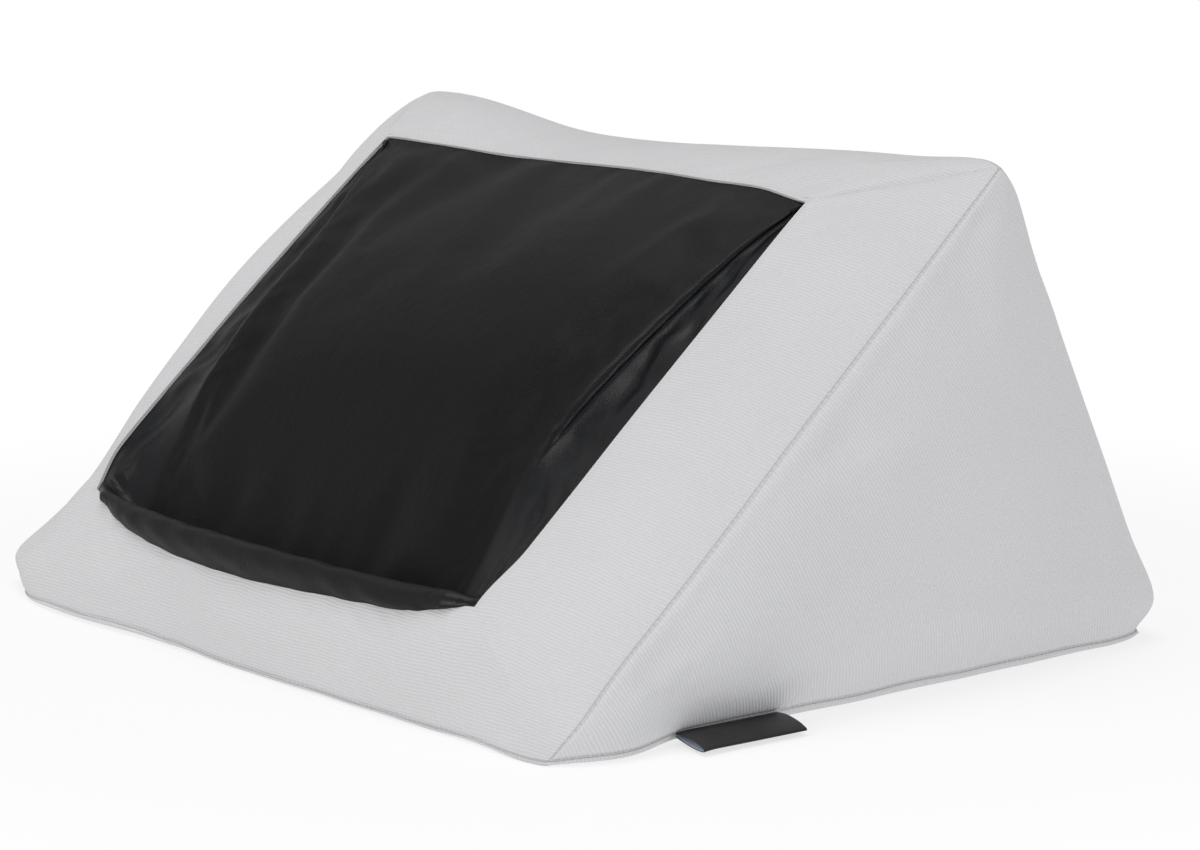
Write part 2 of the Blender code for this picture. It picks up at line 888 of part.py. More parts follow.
def zip_pull():
    """The pull tab: a flat plate with an eye, whose end bar is its hinge under the slider's bridge."""
    half = pull_width / 2
    bar = pull_bar / 2
    eye = pull_eye_width / 2
    corner = pull_width / 4
    outline = [
        (-bar, -half), (pull_length - corner, -half), (pull_length, corner - half),
        (pull_length, half - corner), (pull_length - corner, half), (-bar, half),
    ]
    hole = [(bar, -eye), (bar, eye), (bar + pull_eye_length, eye), (bar + pull_eye_length, -eye)]
    obj = flat_solid("zip_pull", [outline, hole], pull_thickness / 2)
    obj.matrix_world = zip_frame() @ Matrix.Translation((slider_rest(), 0, pull_axis_height()))
    return obj


clear_scene()
parts = new_collection("tablet_cushion_stand")
cutters = new_collection("cutters")

front = slope_panel("front_panel", front_foot, front_up, pocket_rim(), front_point)
finish(front, grey_cloth, 0.9)
finish(slope_panel("rear_panel", rear_foot, rear_up, window_rim(), rear_point), grey_cloth, 0.9)
finish(side_panel("left_side_panel", -1), grey_cloth, 0.9)
finish(side_panel("right_side_panel", 1), grey_cloth, 0.9)
finish(base_panel(), grey_cloth, 0.9)
finish(bead_filling(), filling_white, 0.8)
finish(pocket_lip(), black_leather, 0.45)
finish(pocket_back_panel(), black_leather, 0.45)
finish(pocket_gusset("pocket_left_gusset", -1), black_leather, 0.45)
finish(pocket_gusset("pocket_right_gusset", 1), black_leather, 0.45)
finish(lip_roll(), padding_white, 0.9)
finish(pocket_pad(), padding_white, 0.9)
finish(side_label(), ribbon_black, 0.35)
finish(zip_tape("zip_lower_tape", -1), zip_grey, 0.8)
finish(zip_tape("zip_upper_tape", 1), zip_grey, 0.8)
finish(zip_coil("zip_lower_coil", -1), zip_grey, 0.5)
finish(zip_coil("zip_upper_coil", 1), zip_grey, 0.5)
finish(zip_stop("zip_start_stop", -1), zip_metal, 0.35, 1.0)
finish(zip_stop("zip_end_stop", 1), zip_metal, 0.35, 1.0)
finish(zip_slider(), zip_metal, 0.35, 1.0)
finish(zip_pull(), zip_metal, 0.35, 1.0)
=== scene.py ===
"""Looks of the wedge cushion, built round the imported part. Metres, +Z up, in the part's own frame.

The cover, the pocket's leathercloth, the ribbon, the zip's tapes and its coils are made here, over the
part's plain forms, which they replace. The cushion's surfaces follow the part's own, settled a little
more, in a finer grid, and the cloth is then simulated. The zip's slider, pull and stops keep the part's
shapes.
"""

import math
from contextlib import contextmanager

import bpy
from mathutils import Matrix, Vector
from mathutils.noise import noise


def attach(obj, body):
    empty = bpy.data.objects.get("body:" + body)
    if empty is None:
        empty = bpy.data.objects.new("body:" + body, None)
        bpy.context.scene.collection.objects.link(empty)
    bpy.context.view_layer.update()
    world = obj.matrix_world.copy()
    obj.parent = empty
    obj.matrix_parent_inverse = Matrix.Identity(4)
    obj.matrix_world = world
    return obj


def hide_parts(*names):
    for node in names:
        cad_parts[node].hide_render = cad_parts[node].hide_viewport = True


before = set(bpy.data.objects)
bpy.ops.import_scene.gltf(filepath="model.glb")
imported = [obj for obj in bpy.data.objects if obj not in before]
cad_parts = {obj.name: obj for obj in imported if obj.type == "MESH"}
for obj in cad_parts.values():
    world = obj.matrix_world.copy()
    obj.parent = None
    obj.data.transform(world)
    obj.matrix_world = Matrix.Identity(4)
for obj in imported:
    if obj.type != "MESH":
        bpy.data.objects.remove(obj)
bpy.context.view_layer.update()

# The wedge, as in the part
cushion_width = 0.344
cushion_depth = 0.286
cushion_height = 0.183
ridge_setback = 0.2035
base_lift = 0.004
front_crown = 0.028
side_crown = 0.014
rear_band_rise = 0.008
rear_crown = 0.012
ridge_sag = 0.010
ridge_sag_place = -0.045
base_bow = 0.006
front_seam_bow = 0.003
front_bow = 0.005
edge_drop = 0.0032
edge_drop_reach = 0.022
front_across_power = 5
front_up_power = 8
side_power = 0.6
edge_power = 4
rear_band_power = 8
rear_across_power = 4
sweep_power = 2.5
rear_band_fullness_share = 1.4
sag_start_share = 0.5

# How far each corner, at the front, the rear and the ridge, reaches out
corner_reaches = {"left": (-0.001, 0.001, -0.0015), "right": (0.0056, 0.0035, 0.0035)}
corner_reach = 0.045

# How far each corner's tip is drawn back in, and how much of the seam beside it goes along
corner_draws = {
    "left": ((0.015, 0.045), (0.0105, 0.03), (0.0042, 0.018)),
    "right": ((0.0045, 0.024), (0.0125, 0.035), (0.0042, 0.018)),
}
low_draw_height = 0.016

# How the filled cushion settles, beyond the part's form
base_turn_reach = 0.006
base_bulge = 0.0022
left_sag_power = 2.9
right_sag_power = 2
top_settle = 0.0014
rear_seam_bow = 0.0008
rear_seam_bow_reach = 0.06
seam_wander = 0.0011
seam_wander_length = 0.028
front_seam_lift_share = 0.7
front_seam_lift_span = (-0.09, 0.09)

# The left side's hollow, fullness and low shoulder. A span is a middle and a half width.
left_side_start = 0.12
left_side_fade = 0.04
left_hollow = 0.006
left_hollow_span = (0.036, 0.026)
left_fullness = 0.003
left_fullness_span = (0.105, 0.06)
left_shoulder = 0.0085
left_shoulder_span = (0.0105, 0.012)

# The same hollow and fullness where the front slope ends on the left, across and up the slope
left_edge_span = (-0.152, 0.021)
left_hollow_rise_span = (0.052, 0.032)
left_fullness_rise_span = (0.15, 0.08)

# The left foot, which stands forward, and the belly beside the front right corner
left_foot_forward = 0.0055
left_foot_start = 0.04
left_foot_fade = 0.08
left_foot_height = 0.045
right_belly = 0.008
right_belly_span = (-0.115, 0.03)
right_belly_power = 4
right_belly_height = 0.03

# The pocket's opening, as in the part
pocket_width = 0.252
pocket_offset = -0.0045
pocket_lower_edge = 0.0165
pocket_lower_corner = 0.0375

# The opening's lower and upper edges and how far its lower corners draw in, as photographed
lower_edge_places = (0.0375, 0.0285, 0.0238, 0.0214, 0.0205, 0.0205, 0.0212, 0.0225, 0.0240, 0.0263, 0.0339)
upper_edge_places = (0.2285, 0.2293, 0.2325, 0.2353, 0.2361, 0.2365, 0.2357, 0.2337, 0.2311, 0.2299, 0.2265)
left_corner_draw = 0.010
right_corner_draw = 0.004
corner_draw_reach = 0.026

# The pocket from its lower edge, over the lip, through the trough and up the pad to its upper edge, a little
# fuller than the part's. Each pair is a share of the slope's length and a share of the front crown's height.
middle_profile_shares = (
    (0.074, 0.80), (0.069, 0.96), (0.093, 1.08), (0.112, 1.01), (0.121, 0.81), (0.118, 0.57),
    (0.113, 0.41), (0.125, 0.27), (0.169, 0.37), (0.231, 0.55), (0.326, 0.83), (0.435, 1.14),
    (0.511, 1.22), (0.652, 1.22), (0.758, 1.08), (0.883, 0.88),
)
side_profile_shares = (
    (0.119, 0.75), (0.117, 0.86), (0.124, 0.93), (0.134, 0.89), (0.139, 0.75), (0.139, 0.57),
    (0.135, 0.43), (0.139, 0.32), (0.178, 0.43), (0.236, 0.60), (0.334, 0.91), (0.417, 1.00),
    (0.493, 1.02), (0.618, 0.95), (0.731, 0.89), (0.883, 0.80),
)

# How far up the opening's side each point of the profile ends, and how far out its fold lies
edge_shares = (0, 0.005, 0.01, 0.015, 0.02, 0.026, 0.032, 0.05, 0.08, 0.15, 0.27, 0.38, 0.49, 0.65, 0.81, 1)
fold_shares = (0.9, 0.9, 0.9, 0.9, 0.89, 0.87, 0.84, 0.81, 0.79, 0.78, 0.785, 0.795, 0.81, 0.84, 0.895, 0.99)
trough_start = 5
lip_end = 6
trough_end = 7
last_profile_point = len(middle_profile_shares) - 1
side_fold_share = 0.875

# The zip and its window, as in the part
zip_height = 0.044
zip_length = 0.224
window_half_length = 0.118
window_height = 0.013
cloth_thickness = 0.0012
seam_gap = 0.0004
tape_thickness = 0.0006
tape_width = 0.014
tape_length = 0.252
coil_width = 0.0022
coil_thickness = 0.0018
coil_gap = 0.0003

# The ribbon label, a little shorter and further back than the part's, as photographed
label_length = 0.0445
label_reach = 0.021
label_setback = 0.0505
label_rise = 0.0036
label_slant = 0.004
label_thickness = 0.0004

# The label's fold, as in the part: shares of its reach and of its rise
label_fold_shares = (
    (0, 0.9), (0.35, 1.13), (0.7, 1), (0.93, 0.73), (1, 0.5),
    (0.93, 0.3), (0.7, 0.22), (0.35, 0.34), (0, 0.57),
)

# How finely the cloth is laid out, and how much its points crowd towards the seams
across_steps = 60
along_steps = 48
ring_steps = 11
crowding = 0.78
pocket_cell = 0.0064
pad_steps = 38

# Cloth simulation
cloth_frames = 20
cloth_values = {"quality": 5, "mass": 0.3, "bending_stiffness": 0.6, "pin_stiffness": 0.6}
cover_pressure = 2.5
cover_slack = 0.006
cover_cap = 0.006
pocket_pressure = 1.5
pocket_slack = 0.012
pocket_cap = 0.004

half_width = cushion_width / 2
front_foot = Vector((-cushion_depth / 2, base_lift))
rear_foot = Vector((cushion_depth / 2, base_lift))
ridge = Vector((ridge_setback - cushion_depth / 2, cushion_height))
front_up = (ridge - front_foot).normalized()
rear_up = (ridge - rear_foot).normalized()
front_out = Vector((-front_up.y, front_up.x))
rear_out = Vector((rear_up.y, -rear_up.x))
front_length = (ridge - front_foot).length
rear_length = (ridge - rear_foot).length


# The cushion's surfaces


def mix(first, second, share):
    return first + (second - first) * share


def swell(place, power):
    """1 in the middle of a line from -1 to 1, falling to 0 at both ends."""
    return 1 - abs(place) ** power


def smooth(share):
    share = min(1, max(0, share))
    return share * share * (3 - 2 * share)


def hump(place, middle, half):
    """1 at the middle, falling smoothly to 0 at half a width to either side."""
    return smooth(1 - abs(place - middle) / half)


def settle(point):
    """A point of the plain wedge, moved as the filled cushion settles: it sags, bows and rounds off."""
    x, y, z = point
    reach = half_width + (ridge_sag_place if x < ridge_sag_place else -ridge_sag_place)
    sag_power = left_sag_power if x < ridge_sag_place else right_sag_power
    sag = math.cos(math.pi / 2 * min(1, abs(x - ridge_sag_place) / reach)) ** sag_power
    start = sag_start_share * cushion_height
    sag_depth = ridge_sag * sag * smooth((z - start) / (cushion_height - start))
    low = max(0, 1 - z / start)
    rear_y = mix(rear_foot.x, ridge.x, z / cushion_height)
    forward = (rear_y - y) / cushion_depth
    wide = base_bow * max(0, swell(2 * y / cushion_depth, 2)) * low
    wide += 4 * front_seam_bow * (z / cushion_height) * forward
    wide += rear_seam_bow * smooth((y - ridge.x / 2) / rear_seam_bow_reach)
    long = front_bow * max(0, swell(x / half_width, 2)) * low * forward
    lifted, below = min(1, max(0, z / base_lift)), max(0, 1 - z / edge_drop_reach)
    drop = edge_drop * abs(2 * y / cushion_depth) ** edge_power * lifted * below
    if y < 0:
        drop *= 1 - front_seam_lift_share * hump(x, *front_seam_lift_span)
    drop -= seam_wander * (lifted * below) * noise(Vector((x, y, 0)) / seam_wander_length)
    sag_depth += top_settle * smooth((z - start) / (cushion_height - start))
    moved = Vector((x * (1 + wide / half_width), y - long, z - sag_depth - drop))
    middle = Vector((0, ridge.x / 2, 0))
    for side, name in ((-1, "left"), (1, "right")):
        ends = zip((front_foot, rear_foot, ridge), corner_reaches[name], corner_draws[name])
        for end, reach_out, (draw, draw_reach) in ends:
            corner = Vector((side * half_width, *end))
            away = (point - corner).length
            if away > corner_reach:
                continue
            near = (1 - (away / corner_reach) ** 2) ** 2
            tip = max(0, 1 - away / draw_reach) ** 2
            inward = middle - corner
            if corner.z < start:
                inward.z = 0
                tip *= smooth(1 - (z - base_lift) / low_draw_height)
            moved += inward.normalized() * (draw * tip - reach_out * near)
    left = smooth((-x - left_side_start) / left_side_fade)
    if left:
        moved.x += left * (
            left_hollow * hump(z, *left_hollow_span) - left_fullness * hump(z, *left_fullness_span)
        )
        moved.x -= left * left_shoulder * hump(z, *left_shoulder_span)
    foot = left_foot_forward * smooth((-x - left_foot_start) / left_foot_fade)
    moved.y -= foot * smooth(-2 * y / cushion_depth) * smooth(1 - z / left_foot_height)
    if x > 0:
        belly = right_belly * hump(y, *right_belly_span) * (x / half_width) ** right_belly_power
        moved.x += belly * smooth(1 - z / right_belly_height)
    return moved


def slope_point(foot, up, out, x, rise, height):
    side = foot + up * rise + out * height
    return settle(Vector((x, side.x, side.y)))


def front_height(x, rise):
    along = 2 * rise / front_length - 1
    fullness = left_fullness * hump(rise, *left_fullness_rise_span)
    hollow = left_hollow * hump(rise, *left_hollow_rise_span)
    crown = front_crown * swell(x / half_width, front_across_power) * swell(along, front_up_power)
    return crown + hump(x, *left_edge_span) * (fullness - hollow)


def rear_height(x, rise):
    """A flat band round the zip, and a swell above it."""
    across = x / half_width
    along = 2 * rise / rear_length - 1
    band = swell(across, rear_band_power) * swell(along, rear_band_power) * rear_band_fullness_share
    band_end = zip_height + tape_width
    above = max(0, (rise - band_end) / (rear_length - band_end))
    swelling = swell(across, rear_across_power) * math.sin(math.pi * above) ** 2
    return rear_band_rise * min(1, band) + rear_crown * swelling


def front_point(x, rise):
    return slope_point(front_foot, front_up, front_out, x, rise, front_height(x, rise))


def rear_point(x, rise):
    return slope_point(rear_foot, rear_up, rear_out, x, rise, rear_height(x, rise))


def side_point(side, place):
    whole = (rear_foot - front_foot).cross(ridge - front_foot)
    first = (rear_foot - place).cross(ridge - place) / whole
    second = (ridge - place).cross(front_foot - place) / whole
    third = (front_foot - place).cross(rear_foot - place) / whole
    # The middle's three shares are a third each, so 27 brings its fullness to 1
    fullness = 27 * max(0, first) * max(0, second) * max(0, third)
    return settle(Vector((side * (half_width + side_crown * fullness**side_power), place.x, place.y)))


def flatness(inside):
    """1 where the base lies flat, falling in a quarter round to 0 at its seam."""
    near = min(1, max(0, 1 - inside / base_turn_reach))
    return math.sqrt(1 - near**2)


def up_turned_edge(inside):
    """The way along the base's cloth to its seam, from a place this far inside the outline."""
    return inside + base_lift * flatness(inside)


def base_point(x, y):
    """The base turns up to its seam in a quarter round that bulges out a little below the seam."""
    inside = min(half_width - abs(x), cushion_depth / 2 - abs(y))
    turned_up = 1 - flatness(inside)
    bulge = base_bulge * 4 * turned_up * (1 - turned_up)
    point = settle(Vector((x, y, base_lift * turned_up)))
    if half_width - abs(x) < cushion_depth / 2 - abs(y):
        return point + Vector((math.copysign(bulge, x), 0, 0))
    return point + Vector((0, math.copysign(bulge, y), 0))


def crowded(share):
    """Even places from 0 to 1, moved towards both ends."""
    return share - crowding * math.sin(2 * math.pi * share) / (2 * math.pi)


def curve(values, place):
    """A table's value at a place between its entries, on a smooth curve through them."""
    last = len(values) - 1
    first = min(int(place), last - 1)
    share = place - first
    before, start, end, after = (values[min(last, max(0, first + k))] for k in (-1, 0, 1, 2))
    leave, arrive = (end - before) / 2, (after - start) / 2
    square, cube = share**2, share**3
    return (
        start * (2 * cube - 3 * square + 1)
        + leave * (cube - 2 * square + share)
        + end * (3 * square - 2 * cube)
        + arrive * (cube - square)
    )


def edge_rise(places, across):
    """How far up the slope the opening's lower or upper edge runs, at a place across from -1 to 1."""
    return curve(places, (min(1, max(-1, across)) + 1) / 2 * (len(places) - 1))


def opening_half_width(side, rise):
    """The opening's width from its middle, which draws in towards the lip's ends."""
    draw = left_corner_draw if side < 0 else right_corner_draw
    return pocket_width / 2 - draw * smooth(1 - (rise - lower_edge_places[-1]) / corner_draw_reach)


def opening_spot(across, along):
    """A place on the opening's rectangle, on the flat slope."""
    rise = mix(edge_rise(lower_edge_places, across), edge_rise(upper_edge_places, across), along)
    return Vector((pocket_offset + across * opening_half_width(across, rise), rise))


# Mesh making


sew_reach = 0.00005
fine_levels = 2
smooth_angle = math.radians(50)


def only(obj):
    """Selects one object, and makes it the active one."""
    bpy.ops.object.select_all(action="DESELECT")
    obj.select_set(True)
    bpy.context.view_layer.objects.active = obj


@contextmanager
def editing(obj):
    """Edit mode on one object, and back to object mode."""
    only(obj)
    bpy.ops.object.mode_set(mode="EDIT")
    yield
    bpy.ops.object.mode_set(mode="OBJECT")


def named(obj, name):
    obj.name = name
    obj.data.name = name


def dress(obj, *materials):
    """Gives the piece its materials, in place of any that it has."""
    obj.data.materials.clear()
    for material in materials:
        obj.data.materials.append(material)


def grid_places(obj, steps_u):
    """(u, v) of each point of a laid grid."""
    row = steps_u + 1
    return [(k % row, k // row) for k in range(len(obj.data.vertices))]


def laid_grid(name, steps_u, steps_v, place, pattern):
    """A primitive grid laid on place(u, v). Its UV map, pattern(u, v), is the flat cloth in metres."""
    bpy.ops.object.select_all(action="DESELECT")
    bpy.ops.mesh.primitive_grid_add(x_subdivisions=steps_u, y_subdivisions=steps_v, size=1)
    obj = bpy.context.object
    named(obj, name)
    places = grid_places(obj, steps_u)
    for vert, (u, v) in zip(obj.data.vertices, places):
        vert.co = place(u, v)
    flat = [pattern(u, v) for u, v in places]
    uv_map = obj.data.uv_layers.active.data
    for loop in obj.data.loops:
        uv_map[loop.index].uv = flat[loop.vertex_index]
    return obj


def measure(obj, name, steps_u, value):
    """Keeps a number for each point of a laid grid, such as its distance from a seam."""
    attribute = obj.data.attributes.new(name, "FLOAT", "POINT")
    for item, (u, v) in zip(attribute.data, grid_places(obj, steps_u)):
        item.value = value(u, v)


def hold(obj, steps_u, weight):
    """Says how firmly the cloth is held at each point, for the simulation."""
    group = obj.vertex_groups.new(name="held")
    for k, (u, v) in enumerate(grid_places(obj, steps_u)):
        group.add([k], weight(u, v), "REPLACE")


def sew(obj):
    """Joins the points that lie at the same place, and turns the faces outwards."""
    with editing(obj):
        bpy.ops.mesh.select_all(action="SELECT")
        bpy.ops.mesh.remove_doubles(threshold=sew_reach)
        bpy.ops.mesh.normals_make_consistent(inside=False)
    return obj


def joined(name, objects):
    """The objects as one, sewn together where their edges meet."""
    only(objects[0])
    for obj in objects:
        obj.select_set(True)
    bpy.ops.object.join()
    named(objects[0], name)
    return sew(objects[0])


def apply_modifiers(obj):
    only(obj)
    for modifier in list(obj.modifiers):
        bpy.ops.object.modifier_apply(modifier=modifier.name)


def subdivide(obj):
    made = obj.modifiers.new("finer", "SUBSURF")
    made.levels = fine_levels
    made.render_levels = fine_levels
    made.boundary_smooth = "PRESERVE_CORNERS"
    apply_modifiers(obj)


def thicken(obj, thickness, back=0):
    """Gives the cloth its thickness, inwards, and smooth shading. Its back can have a later material."""
    made = obj.modifiers.new("wall", "SOLIDIFY")
    made.thickness = thickness
    made.offset = -1
    made.material_offset = back
    apply_modifiers(obj)
    bpy.ops.object.shade_smooth_by_angle(angle=smooth_angle)


def swell_cloth(obj, pressure, slack, caps):
    """Simulates the cloth, a little slack, swollen by what it holds. No point moves further than its cap."""
    before = [vert.co.copy() for vert in obj.data.vertices]
    cloth = obj.modifiers.new("cloth", "CLOTH")
    settings = cloth.settings
    for name, value in cloth_values.items():
        setattr(settings, name, value)
    settings.vertex_group_mass = "held"
    settings.use_pressure = True
    settings.uniform_pressure_force = pressure
    settings.shrink_min = -slack
    settings.effector_weights.gravity = 0
    cloth.collision_settings.use_collision = False
    cloth.point_cache.frame_start = 1
    cloth.point_cache.frame_end = cloth_frames
    for number in range(1, cloth_frames + 1):
        bpy.context.scene.frame_set(number)
    apply_modifiers(obj)
    bpy.context.scene.frame_set(1)
    for vert, start, cap in zip(obj.data.vertices, before, caps):
        move = vert.co - start
        if move.length > cap:
            vert.co = start + move.normalized() * cap


def place_over(obj, body, slot, *nodes):
    """The piece rides on a body and stands for its CAD nodes, which are hidden. Its slot is not used."""
    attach(obj, body)
    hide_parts(*nodes)


# The cover


def nearest_seam(distances):
    """The nearest seam's distance and place along it, and how much further away the next seam is."""
    first, second = sorted(distances)[:2]
    return *first, second[0] - first[0]


def cloth_panel(name, steps_u, steps_v, spot, point, seams, pattern, held, rim=None, window=None):
    """One panel of the cover: spot(u, v) is a place on the flat cloth, and point(spot) is in space."""
    spots = {}
    for v in range(steps_v + 1):
        for u in range(steps_u + 1):
            spots[u, v] = spot(u, v)
    obj = laid_grid(
        name, steps_u, steps_v, lambda u, v: point(spots[u, v]), lambda u, v: pattern(spots[u, v])
    )
    for k, kept in enumerate(("seam_distance", "seam_along", "corner_distance")):
        measure(obj, kept, steps_u, lambda u, v: nearest_seam(seams(spots[u, v]))[k])
    for kept, distance in (("rim_distance", rim), ("window_distance", window)):
        measure(obj, kept, steps_u, lambda u, v: distance(u, v, spots[u, v]) if distance else 1)
    hold(obj, steps_u, lambda u, v: held(u, v, spots[u, v]))
    obj.data.materials.append(bpy.data.materials.new(name))
    return obj


def slope_seams(length):
    def seams(spot):
        return [
            (half_width - abs(spot.x), spot.y),
            (spot.y, spot.x),
            (length - spot.y, spot.x),
        ]

    return seams


seam_hold = 0.3
near_rim = 0.006
arc_steps = 24


def front_cover():
    """The front panel, in rings from its outline to the pocket's opening."""
    rim = rectangle_rim()
    outline = [Vector((p * half_width, q * front_length)) for p, q in rim]
    opening = [opening_spot(p, q) for p, q in rim]

    def spot(u, v):
        k = u % len(rim)
        return mix(outline[k], opening[k], crowded(v / ring_steps))

    rows = [front_length * k / arc_steps for k in range(arc_steps + 1)]

    def pattern(place):
        """The ribs keep their pitch along the cloth, so they are counted up the swollen surface."""
        passed = [row for row in rows if row < place.y + front_length / arc_steps]
        points = [front_point(place.x, min(place.y, row)) for row in passed]
        return place.x, sum((end - start).length for start, end in zip(points, points[1:]))

    def from_opening(u, v, place):
        return (place - opening[u % len(rim)]).length

    def held(u, v, place):
        if v == 0:
            return seam_hold
        return 1 - smooth(from_opening(u, v, place) / near_rim)

    return cloth_panel(
        "cover_front", len(rim), ring_steps, spot, lambda s: front_point(s.x, s.y),
        slope_seams(front_length), pattern, held, from_opening,
    )


def rectangle_rim():
    """Places round a rectangle: across from -1 to 1 and along from 0 to 1, from its first corner."""
    across = [2 * crowded(k / across_steps) - 1 for k in range(across_steps)]
    along = [crowded(k / along_steps) for k in range(along_steps)]
    lower = [(p, 0) for p in across]
    right = [(1, q) for q in along]
    upper = [(-p, 1) for p in across]
    left = [(-1, 1 - q) for q in along]
    return lower + right + upper + left


def nearest_line(places, place):
    """Which of a grid's lines lies nearest to a place."""
    return min(range(len(places)), key=lambda k: abs(places[k] - place))


def drawn_to(places, targets):
    """The grid's lines, with some of them moved to a target and the ones between kept in order."""
    moved = [(0, 0)] + sorted((nearest_line(places, target), target) for target in targets)
    moved.append((len(places) - 1, places[-1]))
    lines = []
    for (first, first_target), (last, last_target) in zip(moved, moved[1:]):
        for k in range(first, last):
            share = (places[k] - places[first]) / (places[last] - places[first])
            lines.append(mix(first_target, last_target, share))
    return lines + [places[-1]]


def rear_cover():
    """The rear panel, a grid with the zip's window cut in it."""
    low, high = zip_height - window_height / 2, zip_height + window_height / 2
    even_rows = [rear_length * crowded(v / along_steps) for v in range(along_steps + 1)]
    rows = drawn_to(even_rows, [low, high])
    low_row, high_row = (nearest_line(rows, place) for place in (low, high))
    middle = across_steps // 2
    even_columns = [
        half_width * (2 * crowded(k / across_steps) - 1) for k in range(middle, across_steps + 1)
    ]
    columns = drawn_to(even_columns, [window_half_length])
    side_column = nearest_line(columns, window_half_length)

    def spot(u, v):
        across = abs(u - middle)
        side = 1 if u > middle else -1
        near_window = smooth((along_steps - v) / (along_steps - high_row)) * smooth(v / low_row)
        x = side * mix(even_columns[across], columns[across], near_window)
        inside = smooth((middle - across) / (middle - side_column))
        return Vector((x, mix(even_rows[v], rows[v], inside)))

    def from_window(u, v, place):
        beside = abs(place.x) - window_half_length
        above = abs(place.y - zip_height) - window_height / 2
        return max(0, beside, above) if min(beside, above) < 0 else math.hypot(beside, above)

    def held(u, v, place):
        if v in (0, along_steps) or u in (0, across_steps):
            return seam_hold
        return 1 - smooth(from_window(u, v, place) / near_rim)

    obj = cloth_panel(
        "cover_rear", across_steps, along_steps, spot, lambda s: rear_point(s.x, s.y),
        slope_seams(rear_length), lambda s: (s.x, s.y), held, from_window, from_window,
    )
    with editing(obj):
        bpy.ops.mesh.select_mode(type="FACE")
        bpy.ops.mesh.select_all(action="DESELECT")
    for polygon in obj.data.polygons:
        v, u = divmod(polygon.index, across_steps)
        polygon.select = low_row <= v < high_row and abs(u + 0.5 - middle) < side_column
    with editing(obj):
        bpy.ops.mesh.delete(type="FACE")
    return obj


def side_cover(name, side):
    """A triangular panel, of three patches that each run from a corner to the middle."""
    ends = (front_foot, rear_foot, ridge)
    middle = sum(ends, Vector((0, 0))) / 3
    patch_steps = along_steps // 2

    def seams(place):
        found = []
        for first, second in ((front_foot, ridge), (rear_foot, ridge), (front_foot, rear_foot)):
            line = (second - first).normalized()
            away = place - first
            found.append((abs(line.cross(away)), line.dot(away)))
        return found

    def patch(k):
        corner = ends[k]
        beside, below = ((corner + ends[(k + step) % 3]) / 2 for step in (1, 2))

        def spot(u, v):
            s, t = (2 * crowded(step / along_steps) for step in (u, v))
            return mix(mix(corner, beside, s), mix(below, middle, s), t)

        def held(u, v, place):
            return seam_hold if u == 0 or v == 0 else 0

        return cloth_panel(
            f"{name}_{k}", patch_steps, patch_steps, spot, lambda s: side_point(side, s),
            seams, lambda s: (s.dot(rear_up), s.dot(rear_out)), held,
        )

    obj = joined(name, [patch(k) for k in range(3)])
    dress(obj, bpy.data.materials.new(name))
    for polygon in obj.data.polygons:
        polygon.material_index = 0
    return obj


def base_cover():
    """The base panel, flat on the floor, with its edges turned up to the seams."""

    def spot(u, v):
        across, along = crowded(u / across_steps), crowded(v / along_steps)
        return Vector((half_width * (2 * across - 1), cushion_depth * (along - 0.5)))

    def seams(place):
        beside, below = half_width - abs(place.x), cushion_depth / 2 - abs(place.y)
        return [(up_turned_edge(beside), place.y + cushion_depth / 2), (up_turned_edge(below), place.x)]

    def held(u, v, place):
        if u in (0, across_steps) or v in (0, along_steps):
            return seam_hold
        return smooth(nearest_seam(seams(place))[0] / base_turn_reach)

    return cloth_panel(
        "cover_base", across_steps, along_steps, spot, lambda s: base_point(s.x, s.y),
        seams, lambda s: (s.x, s.y), held,
    )


cover_nodes = {
    "cover_front": ("front_panel", "bead_filling"),
    "cover_rear": ("rear_panel",),
    "cover_left": ("left_side_panel",),
    "cover_right": ("right_side_panel",),
    "cover_base": ("base_panel",),
}
seam_tuck = 0.0004
seam_tuck_reach = 0.0008
free_reach = 0.032
soft_edge_reach = 0.008
soft_edge_repeats = 6
dent_height = 0.0011
dent_size = 0.045
dent_seam_reach = 0.03
dent_rim_reach = 0.02

# Soft creases and ridges: which panel, its two ends on the flat cloth, and its height and half width
cover_creases = (
    ("front", (-0.131, 0.036), (-0.166, 0.012), 0.0016, 0.011),
    ("front", (-0.105, 0.024), (-0.135, 0.006), -0.0009, 0.012),
    ("front", (0.122, 0.228), (0.15, 0.25), 0.0013, 0.008),
    ("front", (-0.13, 0.232), (-0.15, 0.25), 0.0013, 0.01),
    ("side", (-0.03, 0.035), (0.03, 0.07), 0.0012, 0.009),
    ("side", (-0.06, 0.02), (-0.015, 0.055), -0.001, 0.009),
    ("side", (0.0, 0.09), (0.06, 0.085), 0.0012, 0.011),
    ("side", (0.045, 0.165), (0.07, 0.165), -0.0012, 0.006),
    ("side", (0.1, 0.06), (0.125, 0.02), 0.0012, 0.01),
)
crease_steepness = 1.5
crease_fade_share = 0.75
crease_seam_reach = 0.006
crease_rim_reach = 0.003


def number_of(obj, name):
    return [item.value for item in obj.data.attributes[name].data]


def edge_distances(obj):
    """Each point's distance from its nearest seam, and from the edge of the pocket's or zip's opening."""
    return zip(number_of(obj, "seam_distance"), number_of(obj, "rim_distance"))


